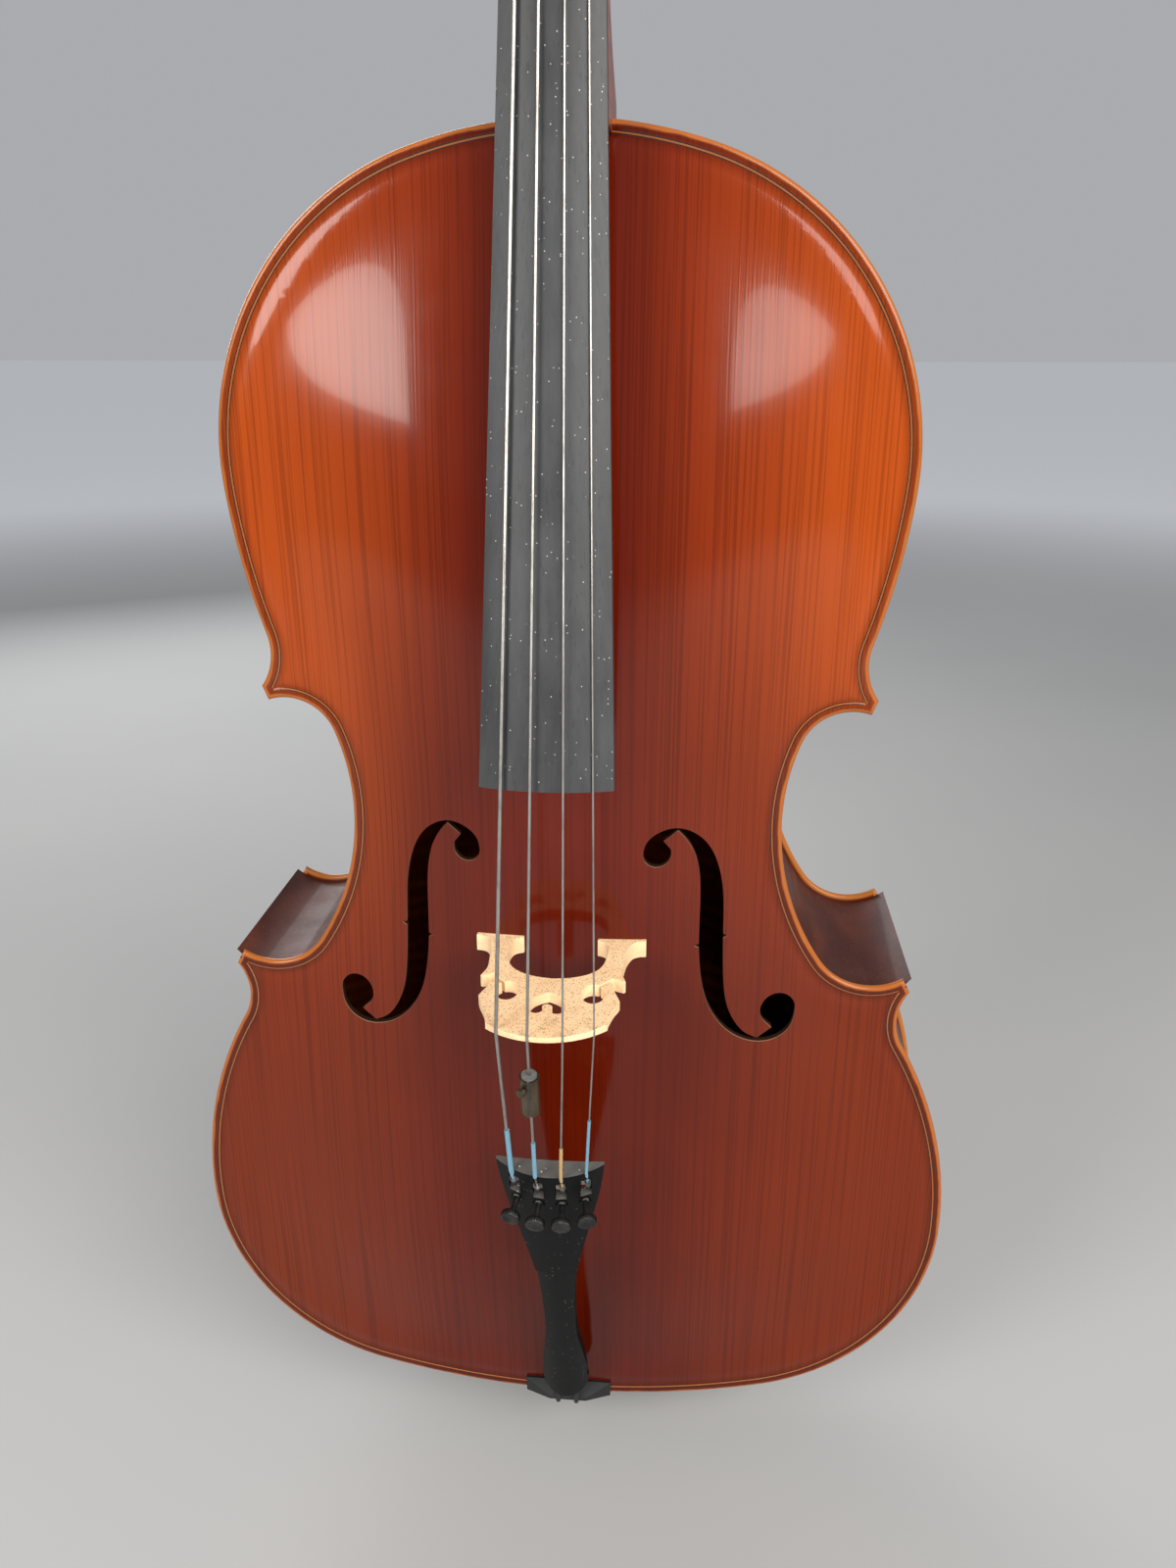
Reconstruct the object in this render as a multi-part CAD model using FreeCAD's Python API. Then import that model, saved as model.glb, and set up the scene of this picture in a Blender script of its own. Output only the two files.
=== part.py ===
import FreeCAD, Part
import math
import os

# A full-size cello, built as a maker builds it: carved plates on bent ribs, blocks and linings inside,
# a neck with pegbox and scroll, and the fittings that hold, stop, tune and carry the strings.
# Millimetres.  +Z runs up the instrument, -Y faces the listener, -X is the bass side.
# The model is laid out from the lower edge of the body (z = 0) and the front plane of the top's edge
# (y = 0), then moved so that the origin is the seat under the scroll where a hanger's yoke carries it.

V = FreeCAD.Vector
X_AXIS = V(1, 0, 0)
Y_AXIS = V(0, 1, 0)
Z_AXIS = V(0, 0, 1)

# --- driving dimensions -----------------------------------------------
BODY_LENGTH = 755.0
BODY_DEPTH = 122.5          # from the front of the top's edge to the back of the back's edge
PLATE = 4.5                 # thickness of both plates at the edge
ARCH = 20.5                 # rise of each plate's arch above its edge
OVERHANG = 4.0              # plate edge beyond the ribs
RIB = 1.5
LINING = 2.5
LINING_HEIGHT = 16.0
CARVED = 4.9                # thickness of the arched part of both plates
PURFLING_INSET = 4.5
PURFLING_WIDTH = 1.6
PURFLING_DEPTH = 1.8

# Half outline of the plates as chains of tangent arcs, (radius, sweep in degrees), where a positive
# sweep turns towards the body.  The upper bout starts at the top of the centre line, the lower bout at
# the bottom, and the two waist chains start at the narrowest point.
UPPER_BOUT = [(234.07, 17.83), (147.55, 76.77), (354.69, 12.6), (32.39, -54.22)]
LOWER_BOUT = [(477.24, 15.1), (140.6, 73.78), (250.5, 31.27), (33.15, -63.97)]
WAIST_UP = [(128.84, -20.13), (27.55, -89.0)]
WAIST_DOWN = [(148.86, -34.5), (34.01, -88.58)]
WAIST_X = 118.26
WAIST_Z = 417.23
UPPER_CORNER = (162.5, 482.0)
LOWER_CORNER = (193.5, 319.5)

# Stations of the arching: height above the lower edge, and half the width of the arched area there.
ARCH_STATIONS = [(9, 4), (60, 160), (150, 214), (300, 165), (417, 106), (500, 128), (606, 163),
                 (700, 118), (746, 4)]
ARCH_MIDDLE = 377.0
ARCH_REACH = 368.0

BRIDGE_Z = 343.0            # the bridge's upright face, towards the tailpiece
BRIDGE_FOOT = 10.0          # thickness at the feet
BRIDGE_CROWN = 2.8          # thickness at the crown
NUT_Z = 1035.0
BOARD_SLOPE = 0.1745        # the fingerboard leans back by this much for each millimetre up
BOARD_Y = -35.0             # top of the fingerboard's middle, level with the body's upper edge
BOARD_LENGTH = 580.5
BOARD_WIDTH_NUT = 32.0
BOARD_WIDTH_END = 64.5
BOARD_RADIUS = 62.0
BOARD_EDGE = 7.0
NECK_DEPTH = 19.0
HEEL_WIDTH = 28.0
MORTISE = 8.0

STRINGS = ["c", "g", "d", "a"]
STRING_RADIUS = {"c": 0.95, "g": 0.75, "d": 0.55, "a": 0.45}
NUT_X = {"c": -11.0, "g": -3.7, "d": 3.7, "a": 11.0}
BRIDGE_X = {"c": -22.6, "g": -6.6, "d": 10.5, "a": 25.2}
TAIL_X = {"c": -20.0, "g": -6.8, "d": 6.8, "a": 20.0}
CROWN_POINTS = [(-28.7, 100.8), (0.5, 110.8), (31.3, 97.2)]
PEG_UP = {"c": 27.0, "a": 52.0, "g": 84.0, "d": 110.0}
PEG_SIDE = {"c": -1, "g": -1, "d": 1, "a": 1}
WINDING_X = {"c": -7.0, "g": -5.0, "d": 5.0, "a": 7.0}
PEG_RADIUS_HEAD = 7.0
PEG_RADIUS_END = 5.6
PEG_CLEARANCE = 0.05
PEG_DEPTH = 19.0            # the pegs' axes behind the front plane of the fingerboard

TAIL_LENGTH = 246.0
TAIL_LEAN = 17.48           # degrees from upright
TAIL_FOOT_Y = -17.0
TAIL_FOOT_Z = 14.0
TAIL_WIDTH = 58.0
TAIL_THICK = 10.0
TAIL_RADIUS = 50.0
TUNER_DOWN = 27.0           # tuner screws below the tailpiece's head
TUNER_SPLAY = 0.0094        # radians that a tuner screw leans outwards for each millimetre off centre
LEVER_INNER = 3.2           # the lever's reach from its string, towards the middle and away from it
LEVER_OUTER = 1.8
SLOT_ROOM = 0.5
SCREW_RADIUS = 1.5
KNOB_RADIUS = 5.3

ENDPIN_Y = 61.0
ENDPIN_RADIUS = 4.0
ENDPIN_TOP = 345.0
COLLAR_RADIUS = 15.5
COLLAR_DEPTH = 17.0
PLUG_RADIUS = 12.5

SEAT_UP = 150.0             # the hanger's seat above the nut, along the neck


# --- small helpers -----------------------------------------------
def save(name, shape):
    moved = shape.copy()
    moved.translate(V(-SEAT.x, -SEAT.y, -SEAT.z))
    moved.exportStep("parts/" + name + ".step")


def box(x0, x1, y0, y1, z0, z1):
    return Part.makeBox(x1 - x0, y1 - y0, z1 - z0, V(x0, y0, z0))


def mirror_x(shape):
    return shape.mirror(V(0, 0, 0), X_AXIS)


def prism(points, direction):
    """A polygon through the points, extruded by the direction vector."""
    return Part.Face(Part.makePolygon(points + [points[0]])).extrude(direction)


def cylinder(radius, start, axis, length):
    return Part.makeCylinder(radius, length, start, axis)


def fused(shapes):
    return shapes[0].fuse(shapes[1:]).removeSplitter()


def group(shapes):
    return Part.makeCompound(shapes)


def natural_spline(stations):
    """A function through the stations, by the natural cubic spline."""
    xs = [s[0] for s in stations]
    ys = [s[1] for s in stations]
    n = len(xs)
    h = [xs[i + 1] - xs[i] for i in range(n - 1)]
    upper = [0.0] * n
    right = [0.0] * n
    for i in range(1, n - 1):
        slope = 6 * ((ys[i + 1] - ys[i]) / h[i] - (ys[i] - ys[i - 1]) / h[i - 1])
        pivot = 2 * (h[i - 1] + h[i]) - h[i - 1] * upper[i - 1]
        upper[i] = h[i] / pivot
        right[i] = (slope - h[i - 1] * right[i - 1]) / pivot
    bend = [0.0] * n
    for i in range(n - 2, 0, -1):
        bend[i] = right[i] - upper[i] * bend[i + 1]

    def value(x):
        i = max(0, min(n - 2, sum(1 for s in xs[1:] if x > s)))
        a = (xs[i + 1] - x) / h[i]
        b = (x - xs[i]) / h[i]
        curve = ((a ** 3 - a) * bend[i] + (b ** 3 - b) * bend[i + 1]) * h[i] ** 2 / 6
        return a * ys[i] + b * ys[i + 1] + curve

    return value


ARCH_WIDTH_SQUARED = natural_spline([(z, w * w) for z, w in ARCH_STATIONS])


def arch(x, z):
    """How far a plate's outer surface stands out from the plane of its edge."""
    along = min(1.0, abs(z - ARCH_MIDDLE) / ARCH_REACH)
    half_width = math.sqrt(max(16.0, ARCH_WIDTH_SQUARED(z)))
    across = min(1.0, abs(x) / half_width)
    rise_along = (1 + math.cos(math.pi * along ** 2.8)) / 2
    rise_across = (1 + math.cos(math.pi * across ** 1.6)) / 2
    return ARCH * rise_along * rise_across


# --- the outline and what follows it -----------------------------------------------
def walk(x, z, heading, turn, arcs):
    """Follows a chain of arcs.  The body lies on the side that a turn of +1 (left) or -1 turns to."""
    out = []
    for radius, sweep in arcs:
        side = turn if sweep > 0 else -turn
        cx = x - side * radius * math.sin(heading)
        cz = z + side * radius * math.cos(heading)
        start = heading - side * math.pi / 2
        end = start + side * math.radians(abs(sweep))
        out.append([cx, cz, radius, start, end, -1 if sweep > 0 else 1])
        heading += side * math.radians(abs(sweep))
        x = cx + radius * math.cos(end)
        z = cz + radius * math.sin(end)
    return out


def chains():
    upper = walk(0, BODY_LENGTH, 0, -1, UPPER_BOUT)
    lower = walk(0, 0, 0, 1, LOWER_BOUT)
    up = walk(WAIST_X, WAIST_Z, math.pi / 2, 1, WAIST_UP)
    down = walk(WAIST_X, WAIST_Z, -math.pi / 2, -1, WAIST_DOWN)
    return upper, up, down, lower


def meet(a, b, near):
    """Trims two arcs, given as [cx, cz, r, start, end], to where their circles cross near a point."""
    dx = b[0] - a[0]
    dz = b[1] - a[1]
    gap = math.hypot(dx, dz)
    along = (a[2] ** 2 - b[2] ** 2 + gap ** 2) / (2 * gap)
    off = math.sqrt(a[2] ** 2 - along ** 2)
    crossings = []
    for sign in (1, -1):
        x = a[0] + along * dx / gap - sign * off * dz / gap
        z = a[1] + along * dz / gap + sign * off * dx / gap
        crossings.append((math.hypot(x - near[0], z - near[1]), x, z))
    _, x, z = min(crossings)
    for arc in (a, b):
        angle = math.atan2(z - arc[1], x - arc[0])
        arc[4] = arc[3] + math.remainder(angle - arc[3], 2 * math.pi)


def offset_chains(inset):
    """The four chains moved into the body by the inset, and trimmed to each other at the corners."""
    moved = []
    for chain in chains():
        moved.append([[a[0], a[1], a[2] + a[5] * inset, a[3], a[4]] for a in chain])
    upper, up, down, lower = moved
    if inset > 0:
        meet(upper[-1], up[-1], UPPER_CORNER)
        meet(lower[-1], down[-1], LOWER_CORNER)
    return moved


def arc_point(arc, angle, y):
    return V(arc[0] + arc[2] * math.cos(angle), y, arc[1] + arc[2] * math.sin(angle))


def arc_edges(chain, y):
    edges = []
    for arc in chain:
        middle = (arc[3] + arc[4]) / 2
        curve = Part.Arc(arc_point(arc, arc[3], y), arc_point(arc, middle, y), arc_point(arc, arc[4], y))
        edges.append(curve.toShape())
    return edges


def chain_end(chain, y):
    return arc_point(chain[-1], chain[-1][4], y)


def outline_face(inset, y):
    upper, up, down, lower = offset_chains(inset)
    edges = []
    for chain in (upper, up, down, lower):
        edges += arc_edges(chain, y)
    if inset == 0:
        for a, b in ((upper, up), (down, lower)):
            edges.append(Part.makeLine(chain_end(a, y), chain_end(b, y)))
    edges += [mirror_x(e) for e in edges]
    return Part.Face(Part.Wire(Part.__sortEdges__(edges)))


def outline_prism(inset, y0, y1):
    return outline_face(inset, y0).extrude(V(0, y1 - y0, 0))


# --- plates -----------------------------------------------
def arched_face(side, y_edge):
    """The outer surface of a plate, a little larger than the body; side is -1 in front, 1 behind."""
    step = 9.8
    rows = []
    for i in range(-25, 26):
        x = i * step
        rows.append([V(x, y_edge + side * arch(x, j * step), j * step) for j in range(-2, 80)])
    surface = Part.BSplineSurface()
    surface.interpolate(rows)
    return surface.toShape()


def f_hole():
    """The treble sound hole, as a prism through the top."""
    def p(x, z):
        return V(x, -40, z)

    def spline(points):
        curve = Part.BSplineCurve()
        curve.interpolate([p(x, z) for x, z in points])
        return curve.toShape()

    inner = spline([(62.5, 415.5), (68.5, 408), (73, 398), (75.2, 385), (75.6, 365), (75.8, 345),
                    (77.5, 328), (80.8, 314), (86.5, 302.5), (95, 293), (105, 287.5), (114, 286),
                    (122.5, 288), (129, 294), (131.5, 304)])
    lower_eye = Part.Arc(p(131.5, 304), p(121.2, 315), p(113.6, 299)).toShape()
    lower_wing = Part.makePolygon([p(113.6, 299), p(118.5, 294.2), p(110.5, 288.6)]).Edges
    outer = spline([(110.5, 288.6), (104, 292), (97.5, 299.5), (93, 309), (90.4, 322), (89.3, 340),
                    (88.8, 360), (88, 378), (85, 393), (79.5, 405), (71, 413.5), (61, 417),
                    (51, 414.3), (45.4, 408.5), (44.2, 402)])
    upper_eye = Part.Arc(p(44.2, 402), p(52, 395.2), p(58.6, 405.5)).toShape()
    upper_wing = Part.makePolygon([p(58.6, 405.5), p(55, 410), p(62.5, 415.5)]).Edges
    edges = [inner, lower_eye] + lower_wing + [outer, upper_eye] + upper_wing
    return Part.Face(Part.Wire(Part.__sortEdges__(edges))).extrude(V(0, 60, 0))


def nick(x, z, side):
    """One of the small notches that mark the stop on a sound hole's edge."""
    reach = 3.0 * side
    return prism([V(x, -40, z + 1.3), V(x + reach, -40, z), V(x, -40, z - 1.3)], V(0, 60, 0))


def sound_holes():
    treble = fused([f_hole(), nick(88.0, 352, 1), nick(76.6, 347.5, -1)])
    return [treble, mirror_x(treble)]


def purfling_ring(y0, y1):
    outer = outline_prism(PURFLING_INSET, y0, y1)
    return outer.cut(outline_prism(PURFLING_INSET + PURFLING_WIDTH, y0, y1))


def button_prism():
    """The tab of the back that covers the heel."""
    y0 = BODY_DEPTH - PLATE
    half = HEEL_WIDTH / 2
    tab = box(-half, half, y0, BODY_DEPTH, BODY_LENGTH - 12, BODY_LENGTH + 12)
    return fused([tab, cylinder(half, V(0, y0, BODY_LENGTH + 12), Y_AXIS, PLATE)])


def hollow_tool(skin, side, blocks):
    """What is carved out of a plate behind its skin.  It stays clear of the flat rim and the blocks."""
    inner_face = skin.copy()
    inner_face.translate(V(0, -side * CARVED, 0))
    return inner_face.extrude(V(0, -side * 80, 0)).cut(blocks)


def carved_plate(skin, side, blocks):
    """A plate of even thickness under its arched skin, with a flat rim; side is -1 in front."""
    flat = PLATE if side < 0 else BODY_DEPTH - PLATE
    thick = skin.extrude(V(0, -side * 80, 0))
    slab = outline_prism(0, flat, flat + side * 60)
    return thick.common(slab).cut(hollow_tool(skin, side, blocks))


def build_plates(neck, saddle):
    front = arched_face(-1, 0)
    behind = arched_face(1, BODY_DEPTH)
    top_block, bottom_block, corners = block_shapes()
    blocks = [b.copy() for b in [top_block, bottom_block] + corners]
    deep_blocks = []
    for block in blocks:
        for shift in (-60, 0, 60):
            moved = block.copy()
            moved.translate(V(0, shift, 0))
            deep_blocks.append(moved)
    tools = {"front_of_top": front.extrude(V(0, -60, 0)), "behind_top_skin": front.extrude(V(0, 300, 0)),
             "front_of_back": behind.extrude(V(0, -300, 0))}
    top = carved_plate(front, -1, deep_blocks)
    for hole in sound_holes():
        top = top.cut(hole)
    top = top.cut(neck).cut(saddle).cut(purfling_ring(-1, PURFLING_DEPTH))
    top_purfling = purfling_ring(0, PURFLING_DEPTH).cut(neck).cut(saddle)
    back = carved_plate(behind, 1, deep_blocks).fuse(button_prism())
    back = back.cut(purfling_ring(BODY_DEPTH - PURFLING_DEPTH, BODY_DEPTH + 1))
    back_purfling = purfling_ring(BODY_DEPTH - PURFLING_DEPTH, BODY_DEPTH)
    save("top_plate", top)
    save("back_plate", back)
    save("top_purfling", top_purfling)
    save("back_purfling", back_purfling)
    return tools


# --- ribs, linings and blocks -----------------------------------------------
RIB_FRONT = PLATE
RIB_BACK = BODY_DEPTH - PLATE


def strip(outer, inner):
    """The thin solid between two chains, from the front plate to the back plate."""
    y = RIB_FRONT
    edges = arc_edges(outer, y) + arc_edges(inner, y)
    edges.append(Part.makeLine(arc_point(outer[0], outer[0][3], y), arc_point(inner[0], inner[0][3], y)))
    edges.append(Part.makeLine(chain_end(outer, y), chain_end(inner, y)))
    wire = Part.Wire(Part.__sortEdges__(edges))
    return Part.Face(wire).extrude(V(0, RIB_BACK - RIB_FRONT, 0))


def build_ribs(neck, plug):
    outer = offset_chains(OVERHANG)
    inner = offset_chains(OVERHANG + RIB)
    upper = strip(outer[0], inner[0]).cut(neck)
    waist = strip(outer[1], inner[1]).fuse(strip(outer[2], inner[2])).removeSplitter()
    lower = strip(outer[3], inner[3]).cut(plug)
    for name, rib in (("upper", upper), ("waist", waist), ("lower", lower)):
        save("rib_" + name + "_treble", rib)
        save("rib_" + name + "_bass", mirror_x(rib))


def block_shapes():
    """The corner, top and bottom blocks, before the neck and the endpin's plug are let into them."""
    inside = outline_prism(OVERHANG + RIB, RIB_FRONT, RIB_BACK)
    top = inside.common(box(-55, 55, 0, 130, BODY_LENGTH - 34, BODY_LENGTH))
    bottom = inside.common(box(-45, 45, 0, 130, 0, 32))
    corners = []
    for x, z in (UPPER_CORNER, LOWER_CORNER):
        for side in (-1, 1):
            corners.append(inside.common(cylinder(38, V(side * x, 0, z), Y_AXIS, 130)))
    return top, bottom, corners


def build_inside(tools, neck, plug):
    top_block, bottom_block, corners = block_shapes()
    everything = [top_block, bottom_block] + corners
    inset = OVERHANG + RIB
    for name, y0 in (("top_linings", RIB_FRONT), ("back_linings", RIB_BACK - LINING_HEIGHT)):
        y1 = y0 + LINING_HEIGHT
        ring = outline_prism(inset, y0, y1).cut(outline_prism(inset + LINING, y0, y1))
        save(name, group(ring.cut(everything).Solids))
    save("top_block", top_block.cut(neck))
    save("bottom_block", bottom_block.cut(plug))
    save("corner_blocks", group(corners))

    # The bass bar runs under the top below the C string, deepest at the bridge and thin at its ends.
    middle = BRIDGE_Z + 5
    depths = [(-260, 6), (-150, 16), (0, 27), (150, 17), (280, 6)]
    profile = [V(-38, 12 - arch(-32, middle + s) + d - 8, middle + s) for s, d in depths]
    profile += [V(-38, -60, middle + 280), V(-38, -60, middle - 260)]
    skin = tools["front_of_top"].copy()
    skin.translate(V(0, CARVED, 0))
    bar = prism(profile, V(11, 0, 0)).cut(skin)
    save("bass_bar", bar)

    # The sound post stands between the plates, just below the bridge's treble foot.
    post = cylinder(5.5, V(28, -60, BRIDGE_Z - 12), Y_AXIS, 260)
    behind = tools["front_of_back"].copy()
    behind.translate(V(0, -CARVED, 0))
    save("sound_post", post.cut(skin).common(behind))


# --- neck, fingerboard and nut -----------------------------------------------
BOARD_ANGLE = math.degrees(math.atan(BOARD_SLOPE))
NUT_Y = BOARD_Y + BOARD_SLOPE * (NUT_Z - BODY_LENGTH)


def lean_back(shape):
    """Moves a shape from the neck's own upright frame, with its origin at the nut, into place."""
    out = shape.copy()
    out.rotate(V(0, 0, 0), X_AXIS, -BOARD_ANGLE)
    out.translate(V(0, NUT_Y, NUT_Z))
    return out


def neck_point(x, y, z):
    angle = math.radians(BOARD_ANGLE)
    return V(x, NUT_Y + y * math.cos(angle) + z * math.sin(angle),
             NUT_Z - y * math.sin(angle) + z * math.cos(angle))


SEAT = neck_point(0, 27, SEAT_UP)


def board_drop(half):
    """How far the fingerboard's round top falls away from its middle."""
    return BOARD_RADIUS - math.sqrt(BOARD_RADIUS ** 2 - half ** 2)


def board_half(down):
    return (BOARD_WIDTH_NUT + (BOARD_WIDTH_END - BOARD_WIDTH_NUT) * down / BOARD_LENGTH) / 2


def board_bottom(down):
    start = board_drop(board_half(0)) + BOARD_EDGE
    end = board_drop(board_half(BOARD_LENGTH)) + BOARD_EDGE
    return start + (end - start) * down / BOARD_LENGTH


def board_section(down):
    half = board_half(down)
    drop = board_drop(half)
    z = -down
    low = board_bottom(down)
    arc = Part.Arc(V(-half, drop, z), V(0, 0, z), V(half, drop, z)).toShape()
    rest = Part.makePolygon([V(half, drop, z), V(half, low, z), V(-half, low, z), V(-half, drop, z)])
    return Part.Wire([arc] + rest.Edges)


def build_fingerboard():
    board = Part.makeLoft([board_section(0), board_section(BOARD_LENGTH)], True, True)
    # The part that stands clear of the body is hollowed underneath.
    hollow_start = V(0, board_bottom(300) + 47, -300)
    hollow_end = V(0, board_bottom(BOARD_LENGTH) + 47, -BOARD_LENGTH - 1)
    run = hollow_end - hollow_start
    board = board.cut(cylinder(51, hollow_start, run, run.Length))
    save("fingerboard", lean_back(board))


def build_nut():
    half = board_half(0)
    low = board_bottom(0)
    z0, z1 = 0, 8.0
    arc = Part.Arc(V(-half, 0.9, z0), V(0, -1.3, z0), V(half, 0.9, z0)).toShape()
    rest = Part.makePolygon([V(half, 0.9, z0), V(half, low, z0), V(-half, low, z0), V(-half, 0.9, z0)])
    nut = Part.Face(Part.Wire([arc] + rest.Edges)).extrude(V(0, 0, z1))
    nut = nut.cut(prism([V(-30, -4, 3), V(-30, 6, 9), V(-30, -4, 9)], V(60, 0, 0)))
    nut = lean_back(nut)
    for s in STRINGS:
        nut = nut.cut(rods(string_points(s)[:4], STRING_RADIUS[s]))
    save("nut", nut)


def nut_depth(s):
    """The string's centre line at the nut, behind the front plane of the fingerboard."""
    return board_drop(abs(NUT_X[s])) - 0.8 - STRING_RADIUS[s]


def neck_section(down, depth):
    half = board_half(down)
    z = -down
    top = board_bottom(down)
    arc = Part.Arc(V(half, top + 4, z), V(0, top + depth, z), V(-half, top + 4, z)).toShape()
    rest = Part.makePolygon([V(-half, top + 4, z), V(-half, top, z), V(half, top, z), V(half, top + 4, z)])
    return Part.Wire([arc] + rest.Edges)


def heel():
    """The heel, in the body's own frame: a tapering block under the fingerboard, let into the body."""
    low = BODY_LENGTH - MORTISE
    wide = board_half(BOARD_LENGTH * 0.5)
    narrow = HEEL_WIDTH / 2
    back = BODY_DEPTH - PLATE
    plan = prism([V(-wide, -40, low), V(wide, -40, low), V(narrow, back, low), V(-narrow, back, low)],
                 V(0, 0, 110))
    curve = Part.BSplineCurve()
    curve.interpolate([V(-40, back, BODY_LENGTH + 24), V(-40, 80, BODY_LENGTH + 31),
                       V(-40, 48, BODY_LENGTH + 41), V(-40, 22, BODY_LENGTH + 58),
                       V(-40, 9, BODY_LENGTH + 90)])
    corners = [V(-40, 9, BODY_LENGTH + 90), V(-40, -60, BODY_LENGTH + 90), V(-40, -60, low - 5),
               V(-40, back, low - 5), V(-40, back, BODY_LENGTH + 24)]
    side = Part.Face(Part.Wire([curve.toShape()] + Part.makePolygon(corners).Edges)).extrude(V(80, 0, 0))
    return plan.common(side)


def above_board_line():
    """Everything in front of the fingerboard's gluing face, in the neck's frame."""
    length = BOARD_LENGTH + 100
    points = [V(-60, board_bottom(0), 0), V(-60, board_bottom(length), -length), V(-60, -100, -length),
              V(-60, -100, 0)]
    return prism(points, V(120, 0, 0))


def side_shape(points, half):
    """A closed spline in the plane of the neck's side, extruded to both sides."""
    curve = Part.BSplineCurve()
    curve.interpolate([V(-half, y, z) for y, z in points], True)
    return Part.Face(Part.Wire([curve.toShape()])).extrude(V(2 * half, 0, 0))


def pegbox():
    outline = [(board_bottom(0), 0), (4.5, 12), (4.0, 60), (8.0, 110), (17.0, 143), (30.0, 152),
               (44.0, 140), (47.0, 110), (48.0, 70), (45.0, 30), (38.0, 4), (27.0, -6)]
    block = side_shape(outline, 24)
    taper = prism([V(-16, -20, -8), V(16, -20, -8), V(21.5, -20, 12), V(20, -20, 80), V(15, -20, 155),
                   V(-15, -20, 155), V(-20, -20, 80), V(-21.5, -20, 12)], V(0, 90, 0))
    hollow = prism([V(-12, -20, 9), V(12, -20, 9), V(11, -20, 80), V(7, -20, 132), V(-7, -20, 132),
                    V(-11, -20, 80)], V(0, 55, 0))
    floor = side_shape([(-20, 9), (-20, 132), (26, 132), (34, 100), (37, 60), (33, 25), (24, 9)], 20)
    return block.common(taper).cut(hollow.common(floor))


def scroll():
    """The volute: each turn stands further out to the sides than the one around it."""
    centre_y = 33.0
    centre_z = 176.0
    turns = [(34.0, 16.0, 0.0), (25.0, 21.0, 1.5), (17.0, 26.0, 2.5), (9.0, 30.5, 3.0)]
    discs = []
    for radius, half, shift in turns:
        discs.append(cylinder(radius, V(-half, centre_y - shift, centre_z), X_AXIS, 2 * half))
    return fused(discs)


def build_neck():
    sections = [neck_section(0, NECK_DEPTH), neck_section(120, NECK_DEPTH + 1),
                neck_section(225, NECK_DEPTH + 3)]
    shaft = Part.makeLoft(sections, True, True)
    head = fused([pegbox(), scroll()])
    nut_seat = box(-30, 30, -40, board_bottom(0), 0, 8.0)
    head = head.cut(nut_seat)
    for s in STRINGS:
        head = head.cut(peg_cone(s, PEG_CLEARANCE))
    front = lean_back(above_board_line())
    whole = fused([lean_back(shaft), heel().cut(front), lean_back(head)])
    save("neck", whole)
    return whole


# --- pegs -----------------------------------------------
def peg_cone(s, extra):
    """The tapered shaft of a peg, from its collar outside one cheek to its end outside the other."""
    side = PEG_SIDE[s]
    start = V(side * 25, PEG_DEPTH, PEG_UP[s])
    return Part.makeCone(PEG_RADIUS_HEAD + extra, PEG_RADIUS_END + extra, 50, start, V(-side, 0, 0))


def build_pegs():
    for s in STRINGS:
        side = PEG_SIDE[s]
        out = V(side, 0, 0)

        def at(x):
            return V(side * x, PEG_DEPTH, PEG_UP[s])

        neck_part = Part.makeCone(PEG_RADIUS_HEAD, 6.0, 8, at(25), out)
        ring = cylinder(9.5, at(27), out, 3.5)
        stem = Part.makeCone(6.0, 5.0, 10, at(33), out)
        wing = Part.makeSphere(15, at(54))
        wing = wing.common(box(-90, 90, PEG_DEPTH - 5.5, PEG_DEPTH + 5.5, 0, 200))
        pip = Part.makeSphere(3.2, at(70))
        peg = fused([peg_cone(s, 0), neck_part, ring, stem, wing, pip])
        x0 = WINDING_X[s] - 4
        turns = 5 * 2 * STRING_RADIUS[s] + 0.5
        sleeve = cylinder(PEG_RADIUS_HEAD - 0.2 + 2 * STRING_RADIUS[s], V(x0, PEG_DEPTH, PEG_UP[s]),
                          X_AXIS, turns)
        save("peg_" + s, lean_back(peg))
        save("string_winding_" + s, lean_back(sleeve.cut(peg_cone(s, 0))))


# --- bridge -----------------------------------------------
EYE = (22.2, 72.8, 6.0, 7.8)                # a side eye: centre and half sizes
EYE_OPENING = (-54, -70)                    # degrees between which the saw cut enters the eye


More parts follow.
